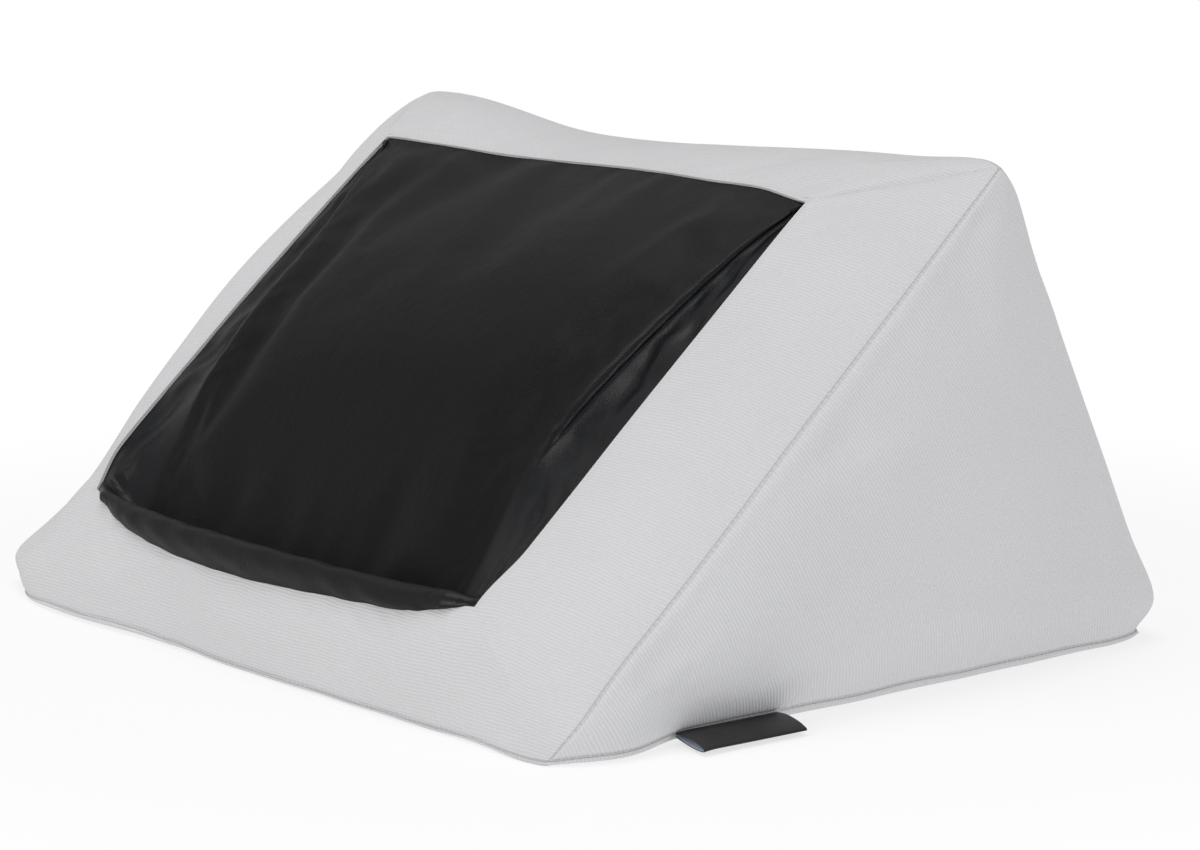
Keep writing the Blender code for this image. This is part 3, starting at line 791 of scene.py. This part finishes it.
def soften_edges(obj):
    """Rounds the filled cushion's edges and corners, most at the seams, and not at the pocket or the zip."""
    group = obj.vertex_groups.new(name="soft_edge")
    for vert, (from_seam, from_rim) in zip(obj.data.vertices, edge_distances(obj)):
        weight = math.exp(-((from_seam / soft_edge_reach) ** 2)) * smooth(from_rim / soft_edge_reach)
        weight *= smooth(vert.co.z / (4 * base_lift))
        group.add([vert.index], weight, "REPLACE")
    made = obj.modifiers.new("soft_edges", "SMOOTH")
    made.factor = 0.5
    made.iterations = soft_edge_repeats
    made.vertex_group = "soft_edge"
    apply_modifiers(obj)


def crease_line(panel, start, end):
    """A crease's two ends in space."""
    if panel == "front":
        return front_point(*start), front_point(*end)
    return side_point(1, Vector(start)), side_point(1, Vector(end))


def crease_lift(creases, point):
    """How much the creases raise the cloth at a point."""
    lift = 0
    for start, run, height, half in creases:
        share = min(1, max(0, (point - start).dot(run) / run.length_squared))
        away = (point - start - run * share).length / half
        if away < 2:
            lift += height * math.exp(-(away**2) * crease_steepness) * (1 - crease_fade_share * share)
    return lift


def work_cover(obj):
    """Draws the seams in and gives the filled cloth its broad, soft dents and creases."""
    creases = []
    for panel, start, end, height, half in cover_creases:
        first, last = crease_line(panel, start, end)
        creases.append((first, last - first, height, half))
    normals = [vert.normal.copy() for vert in obj.data.vertices]
    for vert, normal, (from_seam, from_rim) in zip(obj.data.vertices, normals, edge_distances(obj)):
        tuck = seam_tuck * math.exp(-((from_seam / seam_tuck_reach) ** 2))
        inner = smooth(from_seam / dent_seam_reach) * smooth(from_rim / dent_rim_reach)
        inner *= smooth(vert.co.z / (2 * base_lift))
        dent = dent_height * noise(vert.co / dent_size) * inner
        crease = crease_lift(creases, vert.co) * smooth(from_seam / crease_seam_reach)
        crease *= smooth(from_rim / crease_rim_reach)
        vert.co += normal * (dent + crease - tuck)


def cover():
    panels = [
        front_cover(),
        rear_cover(),
        side_cover("cover_left", -1),
        side_cover("cover_right", 1),
        base_cover(),
    ]
    whole = joined("cover", panels)
    caps = [cover_cap * smooth(distance / free_reach) for distance in number_of(whole, "seam_distance")]
    swell_cloth(whole, cover_pressure, cover_slack, caps)
    soften_edges(whole)
    subdivide(whole)
    work_cover(whole)
    with editing(whole):
        bpy.ops.mesh.select_all(action="SELECT")
        bpy.ops.mesh.separate(type="MATERIAL")
    finish = ribbed_cloth()
    for obj in list(bpy.context.selected_objects):
        name = obj.data.materials[0].name
        named(obj, name)
        dress(obj, finish)
        thicken(obj, cloth_thickness)
        place_over(obj, "cushion", "grey_cloth", *cover_nodes[name])


# The pocket


roll_radius = 0.0032
roll_end_radius = 0.001
roll_turn = math.radians(115)
roll_share = 0.4
roll_middle = 11.8
roll_run = 3.6
roll_start = trough_end + 1
roll_start_fade = 3
roll_end_fade = 0.3
gusset_dip = 0.0012
gusset_dip_power = 0.7
moved_edge_reach = 4
valley_depth = 0.004
valley_reach = 0.16
valley_run = 2.6
seam_step = 0.0009
tuck_reach = 0.003
tuck_depth = 0.0019
leathercloth_thickness = 0.001
crumple_height = 0.002
crumple_ridge_share = 0.4
crumple_span = (0.7, 0.28)
crumple_fade = 1.5
crumple_across = 2.4
crumple_along = 0.55
pucker_height = 0.0006
pucker_size = 0.008
pucker_start = 0.08
pucker_end = 0.7
pucker_side_fade = 3
fold_hold = 0.95
fold_hold_end = 0.8
fold_hold_fade = 0.5
trough_hold_span = (trough_end - 0.3, 1.5)
pad_edge_hold = 0.9
lip_hold = 0.6
least_hold = 0.05
gusset_shares = (0, 0.08, 0.16, 0.24, 0.32, 0.4, 0.5, 0.6, 0.7, 0.8, 0.9, 1)


def profile(shares, along):
    """A point of the pocket's profile over the flat slope, as (rise, height)."""
    rise = curve([rise for rise, _ in shares], along) * front_length
    height = curve([height for _, height in shares], along) * front_crown
    return Vector((rise, height))


def pad_place(share, side, along):
    """(x, rise, height) of the pad, from its middle, 0, to its fold, 1."""
    swept = share**sweep_power
    place = mix(profile(middle_profile_shares, along), profile(side_profile_shares, along), swept)
    x = pocket_offset + side * opening_half_width(side, place.x) * curve(fold_shares, along) * share
    part_edge = mix(pocket_lower_edge, pocket_lower_corner, swept)
    moved_edge = edge_rise(lower_edge_places, side * share) - part_edge
    place.x += moved_edge * smooth(1 - along / moved_edge_reach)
    valley = hump(share, 1 - valley_reach, valley_reach) * hump(along, roll_middle, valley_run)
    return Vector((x, place.x, place.y - valley_depth * valley))


def opening_edge(side, along):
    lower, upper = (edge_rise(places, side) for places in (lower_edge_places, upper_edge_places))
    rise = mix(lower, upper, curve(edge_shares, along))
    edge_x = pocket_offset + side * opening_half_width(side, rise)
    return Vector((edge_x, rise, front_height(edge_x, rise) - seam_step))


def gusset_place(share, side, along):
    """From the pad's fold, 0, round a thin roll, down behind it and out to the opening's edge, 1."""
    fold = pad_place(1, side, along)
    edge = opening_edge(side, along)
    full = smooth((last_profile_point - along) / roll_end_fade)
    full *= smooth((along - roll_start) / roll_start_fade)
    radius = mix(roll_end_radius, roll_radius, full * hump(along, roll_middle, roll_run))
    turn = roll_turn * full * min(1, share / roll_share)
    rolled = fold + radius * Vector((side * math.sin(turn), 0, math.cos(turn) - 1))
    plain = mix(fold, edge, share)
    if share <= roll_share:
        return mix(plain, rolled, full)
    out = (share - roll_share) / (1 - roll_share)
    dip = Vector((0, 0, gusset_dip * full * math.sin(math.pi * out**gusset_dip_power)))
    return mix(plain, mix(rolled, edge, out), full) - dip


def pocket_place(across, along):
    """Where the pocket's cloth lies over the flat slope: across -1 to 1, along in points of the profile."""
    side = math.copysign(1, across)
    spread = abs(across)
    if spread <= side_fold_share:
        return pad_place(spread / side_fold_share, side, along)
    return gusset_place((spread - side_fold_share) / (1 - side_fold_share), side, along)


def pocket_point(across, along):
    """The same, pulled to the front panel's edge where it is sewn to it."""
    place = pocket_place(across, along)
    for end, places in ((0, lower_edge_places), (last_profile_point, upper_edge_places)):
        near = smooth(1 - abs(along - end))
        if near:
            seam = pocket_place(across, end)
            half = opening_half_width(across, edge_rise(places, across))
            rise = edge_rise(places, (seam.x - pocket_offset) / half)
            sewn = Vector((seam.x, rise, front_height(seam.x, rise) - seam_step))
            place = place + (sewn - seam) * near
    return place


def profile_places():
    """Places along the pocket's profile, about one cell apart."""
    places = []
    for first in range(last_profile_point):
        length = (pocket_point(0, first + 1) - pocket_point(0, first)).length
        steps = max(2, round(length / pocket_cell))
        places += [first + k / steps for k in range(steps)]
    return places + [last_profile_point]


def work_pocket(obj):
    """Crumples the gussets' loose cloth, and puckers the pad along its upper seam."""
    places = zip(number_of(obj, "across"), number_of(obj, "along"))
    normals = [vert.normal.copy() for vert in obj.data.vertices]
    for vert, normal, (across, along) in zip(obj.data.vertices, normals, places):
        from_fold = (abs(across) - side_fold_share) / (1 - side_fold_share)
        from_seam = last_profile_point - along
        loose = hump(from_fold, *crumple_span) * smooth(from_seam / crumple_fade)
        loose *= smooth((along - trough_start) / (trough_end - trough_start))
        onward = along * crumple_along
        slanted = Vector((from_fold * crumple_across + onward, onward, across))
        crumple = crumple_height * (noise(slanted) - crumple_ridge_share * abs(noise(slanted * 2)))
        upper = smooth(from_seam / pucker_start) * smooth(1 - from_seam / pucker_end)
        upper *= smooth(-from_fold * pucker_side_fade)
        pucker = pucker_height * noise(Vector((vert.co.x / pucker_size, across, 0))) * upper
        vert.co += normal * (crumple * loose + pucker)


def pocket():
    """The pocket's cloth in one piece: lip, trough, pad and gussets, with its rim under the front panel."""
    gusset = [mix(side_fold_share, 1, share) for share in gusset_shares[1:]]
    pad = [side_fold_share * (2 * crowded(k / pad_steps) - 1) for k in range(pad_steps + 1)]
    across = [-place for place in reversed(gusset)] + pad + gusset
    along = profile_places()
    steps_u, steps_v = len(across) + 1, len(along) + 1

    def inner(u, v):
        return min(steps_u - 2, max(0, u - 1)), min(steps_v - 2, max(0, v - 1))

    def flat_place(u, v):
        """(x, rise, height), one step past the opening's edge at the grid's own edges."""
        column, row = inner(u, v)
        place = pocket_point(across[column], along[row])
        if u in (0, steps_u) or v in (0, steps_v):
            place.x += tuck_reach * ((u == steps_u) - (u == 0))
            place.y += tuck_reach * ((v == steps_v) - (v == 0))
            place.z = front_height(place.x, place.y) - tuck_depth
        return place

    flat = {(u, v): flat_place(u, v) for u in range(steps_u + 1) for v in range(steps_v + 1)}
    run = [0]
    for v in range(steps_v):
        run.append(run[-1] + (flat[steps_u // 2, v + 1] - flat[steps_u // 2, v]).length)

    def held(u, v):
        column, row = inner(u, v)
        if column in (0, steps_u - 2) or row in (0, steps_v - 2):
            return 1
        spread = abs(across[column])
        from_fold = abs(spread - side_fold_share) / (1 - side_fold_share)
        if spread > side_fold_share:
            fold = fold_hold * smooth((fold_hold_end - from_fold) / fold_hold_fade)
        else:
            fold = pad_edge_hold * smooth(1 - from_fold)
        lip = lip_hold if along[row] < lip_end else 0
        return max(fold, lip, hump(along[row], *trough_hold_span), least_hold)

    obj = laid_grid(
        "pocket", steps_u, steps_v,
        lambda u, v: slope_point(front_foot, front_up, front_out, *flat[u, v]),
        lambda u, v: (across[inner(u, v)[0]] * pocket_width / 2, run[v]),
    )
    measure(obj, "across", steps_u, lambda u, v: across[inner(u, v)[0]])
    measure(obj, "along", steps_u, lambda u, v: along[inner(u, v)[1]])
    hold(obj, steps_u, held)
    sew(obj)
    swell_cloth(obj, pocket_pressure, pocket_slack, [pocket_cap] * len(obj.data.vertices))
    subdivide(obj)
    work_pocket(obj)
    thicken(obj, leathercloth_thickness)
    dress(obj, leathercloth())
    place_over(
        obj, "cushion", "leathercloth", "pocket_lip", "pocket_back_panel", "pocket_left_gusset",
        "pocket_right_gusset", "lip_roll", "pocket_pad",
    )


# Materials


class Number:
    """A node's output, which takes part in sums."""

    def __init__(self, finish, output):
        self.finish = finish
        self.output = output

    def __add__(self, other):
        return self.finish.maths("ADD", self, other)

    __radd__ = __add__

    def __mul__(self, other):
        return self.finish.maths("MULTIPLY", self, other)

    __rmul__ = __mul__

    def __sub__(self, other):
        return self.finish.maths("SUBTRACT", self, other)

    def __rsub__(self, other):
        return self.finish.maths("SUBTRACT", other, self)


class Finish:
    """A material being made, with its shader's constant values set first."""

    def __init__(self, name, **constants):
        self.material = bpy.data.materials.new(name)
        self.material.use_nodes = True
        self.tree = self.material.node_tree
        self.shader = self.tree.nodes["Principled BSDF"]
        self.give(**constants)

    def give(self, **values):
        """Gives the shader's sockets their values or links."""
        for socket, value in values.items():
            self.feed(self.shader.inputs[socket.replace("_", " ")], value)

    def feed(self, socket, value):
        if isinstance(value, Number):
            self.tree.links.new(value.output, socket)
        else:
            socket.default_value = value

    def node(self, kind, settings=None, inputs=None, output=0):
        """Any node: its settings are set first, then its sockets are given values or links."""
        made = self.tree.nodes.new("ShaderNode" + kind)
        for name, value in (settings or {}).items():
            setattr(made, name, value)
        for socket, value in (inputs or {}).items():
            self.feed(made.inputs[socket], value)
        return Number(self, made.outputs[output])

    def maths(self, operation, *values):
        return self.node("Math", {"operation": operation}, dict(enumerate(values)))

    def parts(self, place):
        """The three numbers of a place."""
        separate = self.node("SeparateXYZ", inputs={0: place}).output.node
        return [Number(self, output) for output in separate.outputs]

    def flat_cloth(self):
        """The flat cloth's metres, as a pair of numbers."""
        return self.parts(self.node("UVMap"))[:2]

    def position(self):
        return self.node("TexCoord", output="Object")

    def kept(self, name):
        """A number that was kept on the mesh."""
        return self.node("Attribute", {"attribute_name": name}, output="Fac")

    def noise(self, place, scale, detail=2, roughness=0.5):
        return self.node(
            "TexNoise", inputs={"Vector": place, "Scale": scale, "Detail": detail, "Roughness": roughness}
        )

    def wave(self, value, length):
        """A wave along a value in metres, from -1 to 1."""
        return self.maths("SINE", value * (2 * math.pi / length))

    def fade(self, value, near, far):
        """1 below near, falling smoothly to 0 at far."""
        return self.node(
            "MapRange", {"interpolation_type": "SMOOTHSTEP"},
            {"Value": value, "From Min": near, "From Max": far, "To Min": 1, "To Max": 0},
        )

    def colour(self, factor, first, second):
        """Between two colours, by a factor."""
        made = self.tree.nodes.new("ShaderNodeMix")
        made.data_type = "RGBA"
        self.feed(made.inputs[0], factor)
        self.feed(made.inputs[6], first)
        self.feed(made.inputs[7], second)
        return Number(self, made.outputs[2])

    def bump(self, height, strength=1):
        """A surface raised by a height in metres."""
        return self.node("Bump", inputs={"Height": height, "Strength": strength, "Distance": 1})


def tone(grey, tint=(1, 1, 1)):
    return (*[grey * part for part in tint], 1)


rib_pitch = 0.00123
stitch_pitch = 0.0011
pucker_pitch = 0.0027
seam_stitch_pitch = 0.0024
topstitch_pitch = 0.003
topstitch_near = (0.002, 0.0024)
topstitch_far = (0.0026, 0.003)
thread_pitch = 0.00045
warp_pitch = 0.0006
twill_width = 0.0022
twill_pitch = 0.0007


def ribbed_cloth():
    """Light grey cloth with a fine rib. The ribs run along the UV map's first axis, and wander a little."""
    finish = Finish("ribbed_cloth", Roughness=0.9, Sheen_Weight=0.15, Sheen_Roughness=0.5)
    along, across = finish.flat_cloth()
    place = finish.position()
    wander = (finish.noise(place, 28, 2) - 0.5) * 0.004 + (finish.noise(place, 160, 1) - 0.5) * 0.0006
    rib = finish.wave(across + wander, rib_pitch)
    stitch = finish.wave(along + finish.noise(place, 300) * 0.0006, stitch_pitch)
    fuzz = finish.noise(place, 1900, 2)
    seam = finish.kept("seam_distance")
    pucker = finish.wave(finish.kept("seam_along") + finish.noise(place, 120) * 0.002, pucker_pitch)
    near_corner = finish.fade(finish.kept("corner_distance"), 0.001, 0.008)
    near_seam = finish.fade(seam, 0.0005, 0.006) * (1 - near_corner)
    on_seam = finish.fade(seam, 0.0001, 0.0005)
    seam_along = finish.kept("seam_along") + finish.noise(place, 60) * 0.004
    stitched = finish.wave(seam_along, seam_stitch_pitch) * 0.5 + 0.5
    near_rim = finish.fade(finish.kept("rim_distance"), 0.0003, 0.004)
    window = finish.kept("window_distance")
    topstitch = finish.fade(window, *topstitch_far) - finish.fade(window, *topstitch_near)
    topstitch = topstitch * (1 - finish.fade(finish.wave(along + across, topstitch_pitch), -0.7, -0.3))
    height = rib * 0.5 + stitch * 0.06 * (rib + 1) + fuzz * 0.8
    # Colour: the rib valleys are darker, partly the cloth's own tone and partly painted shade; the seam
    # puckers are painted shade; the broad noise is the cloth's own tone
    tone_and_painted_shade = height * 0.4 + finish.noise(place, 9, 3) * 0.4 - pucker * near_seam * 0.03 + 0.1
    cloth = finish.colour(tone_and_painted_shade, tone(0.55, (1, 0.995, 1.02)), tone(0.7, (1, 0.995, 1.015)))
    cloth = finish.colour(on_seam * (stitched * 0.2 + 0.1), cloth, tone(0.28, (1, 0.96, 1.06)))
    cloth = finish.colour(topstitch * 0.6, cloth, tone(0.45))
    # Painted shade: the cloth is darker close to the edges of the pocket's and the zip's openings
    cloth = finish.colour(near_rim * 0.1, cloth, tone(0.4))
    creases = pucker * near_seam * 0.00004 - on_seam * 0.0003 + topstitch * 0.0002
    weave = finish.bump(height * 0.00012 + creases)
    finish.give(Base_Color=cloth, Roughness=fuzz * 0.12 + 0.82, Normal=weave)
    return finish.material


def leathercloth():
    """Soft black leathercloth with a fine grain and faint creases, and painted light and shade.

    Painted light makes the lip and the pad's top paler, and painted shade makes the trough and the pad's
    middle darker. The gussets, on the fold's far side, are satiny, with a bluish tint that is a painted
    reflection.
    """
    finish = Finish("leathercloth", Specular_IOR_Level=0.12, Coat_Roughness=0.26)
    across = finish.maths("ABSOLUTE", finish.kept("across"))
    pad = finish.fade(across, side_fold_share - 0.01, side_fold_share + 0.02)
    place = finish.position()
    grain = finish.node(
        "TexVoronoi", {"feature": "DISTANCE_TO_EDGE"}, {"Vector": place, "Scale": 1000, "Randomness": 1}
    )
    pores = finish.noise(place, 3200, 2)
    crease = finish.noise(place, 210, 4, 0.62)
    broad = finish.noise(place, 38, 3)
    along = finish.kept("along")
    # Painted light and shade: 1 on the lip and at the pad's top, which face the light, and 0 on the trough
    # and the pad's middle, which are painted as shaded
    painted_light_mask = finish.fade(along, lip_end, trough_end + 0.5) + 1 - finish.fade(along, 12.2, 14.6)
    marks = crease * 0.6 + pores * 0.4
    # Shaded and lit tones of the same leathercloth, for the painted shade and the painted light
    painted_shade_tones = finish.colour(marks, tone(0.003, (1, 1, 1.04)), tone(0.008, (0.99, 1, 1.04)))
    painted_light_tones = finish.colour(marks, tone(0.008, (1, 1, 1.02)), tone(0.017, (0.99, 1, 1.02)))
    # The gussets' tones: satin, with a bluish tint that is a painted reflection of the light from above
    satin = finish.colour(marks, tone(0.004, (0.95, 1, 1.15)), tone(0.01, (0.93, 1, 1.2)))
    skin = grain * 0.0003 + pores * 0.00003 + crease * 0.00035 + broad * 0.0007
    finish.give(
        Base_Color=finish.colour(pad, satin, finish.colour(painted_light_mask, painted_shade_tones, painted_light_tones)),
        Roughness=crease * 0.18 + broad * 0.06 + pad * 0.1 + 0.25,
        Coat_Weight=(1 - pad) * 0.18,
        Normal=finish.bump(skin, 0.6),
    )
    return finish.material


def satin_ribbon():
    """Black satin: fine threads across it."""
    finish = Finish("satin_ribbon", Specular_IOR_Level=0.3)
    along, across = finish.flat_cloth()
    place = finish.position()
    thread = finish.wave(along, thread_pitch)
    warp = finish.wave(across, warp_pitch)
    broad = finish.noise(place, 90, 2)
    finish.give(
        Base_Color=finish.colour(thread * 0.3 + 0.5, tone(0.005), tone(0.011, (0.97, 1, 1.08))),
        Roughness=broad * 0.2 + 0.3,
        Normal=finish.bump(thread * 0.00003 + warp * 0.00002 + broad * 0.0006, 0.5),
    )
    return finish.material


def ribbon_back():
    """The ribbon's pale wrong side."""
    finish = Finish("ribbon_back", Sheen_Weight=0.1)
    along, across = finish.flat_cloth()
    thread = finish.wave(along, thread_pitch) * finish.wave(across, warp_pitch)
    finish.give(
        Base_Color=finish.colour(
            thread * 0.5 + 0.5, tone(0.55, (0.88, 0.97, 1.12)), tone(0.7, (0.9, 0.98, 1.1))
        ),
        Roughness=thread * 0.1 + 0.6,
    )
    return finish.material


def zip_cloth():
    """Grey zip tape, woven in a herringbone."""
    finish = Finish("zip_cloth", Sheen_Weight=0.1)
    x, _, z = finish.parts(finish.position())
    twill = finish.wave(finish.maths("PINGPONG", x, twill_width) + z, twill_pitch)
    finish.give(
        Base_Color=finish.colour(twill * 0.4 + 0.5, tone(0.42), tone(0.56)),
        Roughness=twill * 0.05 + 0.82,
        Normal=finish.bump(twill * 0.00006),
    )
    return finish.material


def coil_nylon():
    finish = Finish("coil_nylon", Specular_IOR_Level=0.5)
    speck = finish.noise(finish.position(), 900, 2)
    finish.give(Base_Color=finish.colour(speck, tone(0.46), tone(0.56)), Roughness=speck * 0.15 + 0.33)
    return finish.material


def zip_metal():
    """Bright nickel-coloured metal with fine scratches and handling marks."""
    finish = Finish("zip_metal", Metallic=1.0)
    place = finish.position()
    stretched = finish.node("Mapping", inputs={"Vector": place, "Scale": (60, 900, 900)})
    scratch = finish.noise(stretched, 3, 4, 0.6)
    marks = finish.noise(place, 260, 3)
    finish.give(
        Base_Color=finish.colour(marks, tone(0.5, (1, 0.99, 0.96)), tone(0.68, (1, 0.99, 0.97))),
        Roughness=scratch * 0.2 + marks * 0.12 + 0.16,
        Normal=finish.bump(scratch * 0.00004, 0.4),
    )
    return finish.material


# The ribbon label


label_seam_inset = 0.0006


def side_label():
    across, along = 24, 40
    seam_start = label_setback - cushion_depth / 2

    def place(u, v):
        step = (len(label_fold_shares) - 1) * v / along
        reach = label_reach * curve([reach for reach, _ in label_fold_shares], step)
        height = label_rise * curve([height for _, height in label_fold_shares], step)
        y = seam_start + label_length * u / across
        seam_x = settle(Vector((half_width, y, base_lift))).x
        y -= label_slant * reach / label_reach
        return Vector((seam_x - label_seam_inset + reach, y, height))

    obj = laid_grid(
        "label_ribbon", across, along, place,
        lambda u, v: (label_length * u / across, 2 * label_reach * v / along),
    )
    dress(obj, satin_ribbon(), ribbon_back())
    with editing(obj):
        bpy.ops.mesh.select_all(action="SELECT")
        bpy.ops.mesh.normals_make_consistent(inside=False)
    middle = obj.data.polygons[across * (along // 4) + across // 2]
    if middle.normal.z < 0:
        obj.data.flip_normals()
    thicken(obj, label_thickness, 1)
    place_over(obj, "cushion", "ribbon", "side_label")


# The zip


tape_cord_rise = 0.00035
tape_cord_span = (0.06, 0.07)
coil_pitch = 0.0015
coil_wire = 0.00028
coil_mesh_depth = 0.0001
turn_points = 10


def zip_frame():
    """The middle of the zip on the rear panel: its x runs along the zip, y up the panel and z outwards."""
    place = rear_foot + rear_up * zip_height + rear_out * rear_band_rise
    axes = Matrix(((-1, 0, 0), (0, rear_up.x, rear_up.y), (0, rear_out.x, rear_out.y))).transposed()
    return Matrix.Translation((0, place.x, place.y)) @ axes.to_4x4()


def zip_tape(name, side, finish):
    """A woven tape with a thicker cord along its inner edge."""
    across, along = 10, 120
    height = -cloth_thickness - seam_gap

    def place(u, v):
        out = u / across
        cord = tape_cord_rise * hump(out, *tape_cord_span)
        sideways = side * mix(coil_gap / 2, tape_width, out)
        return zip_frame() @ Vector((tape_length * (v / along - 0.5), sideways, height + cord))

    obj = laid_grid(
        name + "_cloth", across, along, place,
        lambda u, v: (tape_length * v / along, tape_width * u / across),
    )
    dress(obj, finish)
    if obj.data.polygons[0].normal.dot(Vector((0, *rear_out))) < 0:
        obj.data.flip_normals()
    thicken(obj, tape_thickness)
    place_over(obj, "cushion", "zip_tape", name)


def zip_coil(name, side, finish):
    """Half of the zip's chain: a nylon wire wound flat, its turns meshed with the other half's."""
    turns = int(zip_length / coil_pitch) - 1
    base = -cloth_thickness - seam_gap + coil_gap + coil_wire
    line = bpy.data.curves.new(name, "CURVE")
    line.dimensions = "3D"
    line.bevel_depth = coil_wire
    line.bevel_resolution = 1
    line.use_fill_caps = True
    spline = line.splines.new("POLY")
    spline.points.add(turns * turn_points)
    for k, point in enumerate(spline.points):
        angle = 2 * math.pi * k / turn_points
        x = coil_pitch * (k / turn_points - turns / 2 + (0.25 if side > 0 else -0.25))
        out = coil_width / 2 - coil_wire
        across = side * (coil_width / 2 - coil_mesh_depth - out * math.cos(angle))
        up = base + (coil_thickness / 2 - coil_wire) * (1 + math.sin(angle))
        point.co = (*(zip_frame() @ Vector((x, across, up))), 1)
    guide = bpy.data.objects.new(name + "_line", line)
    bpy.context.collection.objects.link(guide)
    only(guide)
    bpy.ops.object.convert(target="MESH")
    obj = bpy.context.object
    named(obj, name + "_turns")
    dress(obj, finish)
    bpy.ops.object.shade_smooth()
    place_over(obj, "cushion", "zip_coil", name)


# The picture: floor, light and camera


camera_place = Vector((1.26487, -0.99336, 0.37699))
camera_yaw = math.radians(51.376)
camera_pitch = math.radians(10.761)
camera_roll = math.radians(-0.348)
focal_pixels = 4346
picture_width = 1200
room_light = 0.5

# Each lamp's place, size, power and tint
lamps = {
    "overhead": ((-0.1, -0.2, 2.0), 1.5, 13.8, (1, 1, 1)),
    "front_fill": ((0.2, -2.0, 0.5), 1.0, 11.5, (1, 1, 1)),
    "side_fill": ((2.2, 0.5, 0.4), 0.9, 11, (0.96, 0.985, 1)),
}

# The floor turns from lit to plain white between these distances from the middle
white_start = 0.24
white_end = 0.46
near_white_share = 0.7
floor_glow = 0.85
floor_size = 40
floor_gap = 0.0003


def placed(name, data):
    """A new object in the scene."""
    obj = bpy.data.objects.new(name, data)
    bpy.context.scene.collection.objects.link(obj)
    return obj


def camera():
    data = bpy.data.cameras.new("camera")
    data.sensor_width = 36
    data.lens = focal_pixels * data.sensor_width / picture_width
    data.clip_end = 20
    forward = Vector((
        -math.sin(camera_yaw) * math.cos(camera_pitch),
        math.cos(camera_yaw) * math.cos(camera_pitch),
        -math.sin(camera_pitch),
    ))
    level = Vector((math.cos(camera_yaw), math.sin(camera_yaw), 0))
    over = level.cross(forward)
    right = level * math.cos(camera_roll) + over * math.sin(camera_roll)
    up = over * math.cos(camera_roll) - level * math.sin(camera_roll)
    obj = placed("camera", data)
    obj.matrix_world = Matrix.Translation(camera_place) @ Matrix((right, up, -forward)).transposed().to_4x4()
    bpy.context.scene.camera = obj


def area_light(name, place, size, power, tint):
    data = bpy.data.lights.new(name, "AREA")
    data.shape = "DISK"
    data.size = size
    data.energy = power
    data.color = tint
    obj = placed(name, data)
    obj.location = place
    aim = Vector((0, 0, cushion_height / 2)) - Vector(place)
    obj.rotation_euler = aim.to_track_quat("-Z", "Y").to_euler()


def light():
    """Soft light from all round, and a plain white backdrop for the camera."""
    world = bpy.data.worlds.new("studio")
    bpy.context.scene.world = world
    world.use_nodes = True
    tree = world.node_tree
    background = tree.nodes["Background"]
    background.inputs["Color"].default_value = (1, 1, 1, 1)
    path = tree.nodes.new("ShaderNodeLightPath")
    strength = tree.nodes.new("ShaderNodeMapRange")
    strength.inputs["To Min"].default_value = room_light
    strength.inputs["To Max"].default_value = 1.0
    tree.links.new(path.outputs["Is Camera Ray"], strength.inputs["Value"])
    tree.links.new(strength.outputs[0], background.inputs["Strength"])
    for name, values in lamps.items():
        area_light(name, *values)


def floor():
    """A white floor, which keeps the shadow near the cushion and is plain white further out."""
    bpy.ops.object.select_all(action="DESELECT")
    bpy.ops.mesh.primitive_plane_add(size=floor_size)
    obj = bpy.context.object
    obj.name = "floor"
    for vert in obj.data.vertices:
        vert.co.z = -floor_gap
    finish = Finish("floor", Base_Color=tone(0.99), Roughness=1.0, Specular_IOR_Level=0.0)
    across = finish.node("VectorMath", {"operation": "LENGTH"}, {0: finish.position()}, "Value")
    far = 1 - finish.fade(across, white_start, white_end) * (1 - near_white_share)
    seen = finish.node("LightPath", output="Is Camera Ray")
    glow = seen * (1 - floor_glow) + floor_glow
    white = finish.node("Emission", inputs={"Color": (1, 1, 1, 1), "Strength": glow})
    lit = Number(finish, finish.shader.outputs[0])
    mixed = finish.node("MixShader", inputs={0: far, 1: lit, 2: white})
    finish.feed(finish.tree.nodes["Material Output"].inputs["Surface"], mixed)
    obj.data.materials.append(finish.material)


def metal_pieces():
    finish = zip_metal()
    for name in ("zip_slider", "zip_pull", "zip_start_stop", "zip_end_stop"):
        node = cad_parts[name]
        node.material_slots[0].material = finish


camera()
light()
floor()
cover()
pocket()
side_label()
tape_finish = zip_cloth()
zip_tape("zip_lower_tape", -1, tape_finish)
zip_tape("zip_upper_tape", 1, tape_finish)
coil_finish = coil_nylon()
zip_coil("zip_lower_coil", -1, coil_finish)
zip_coil("zip_upper_coil", 1, coil_finish)
metal_pieces()

bpy.context.scene.view_settings.view_transform = "Standard"
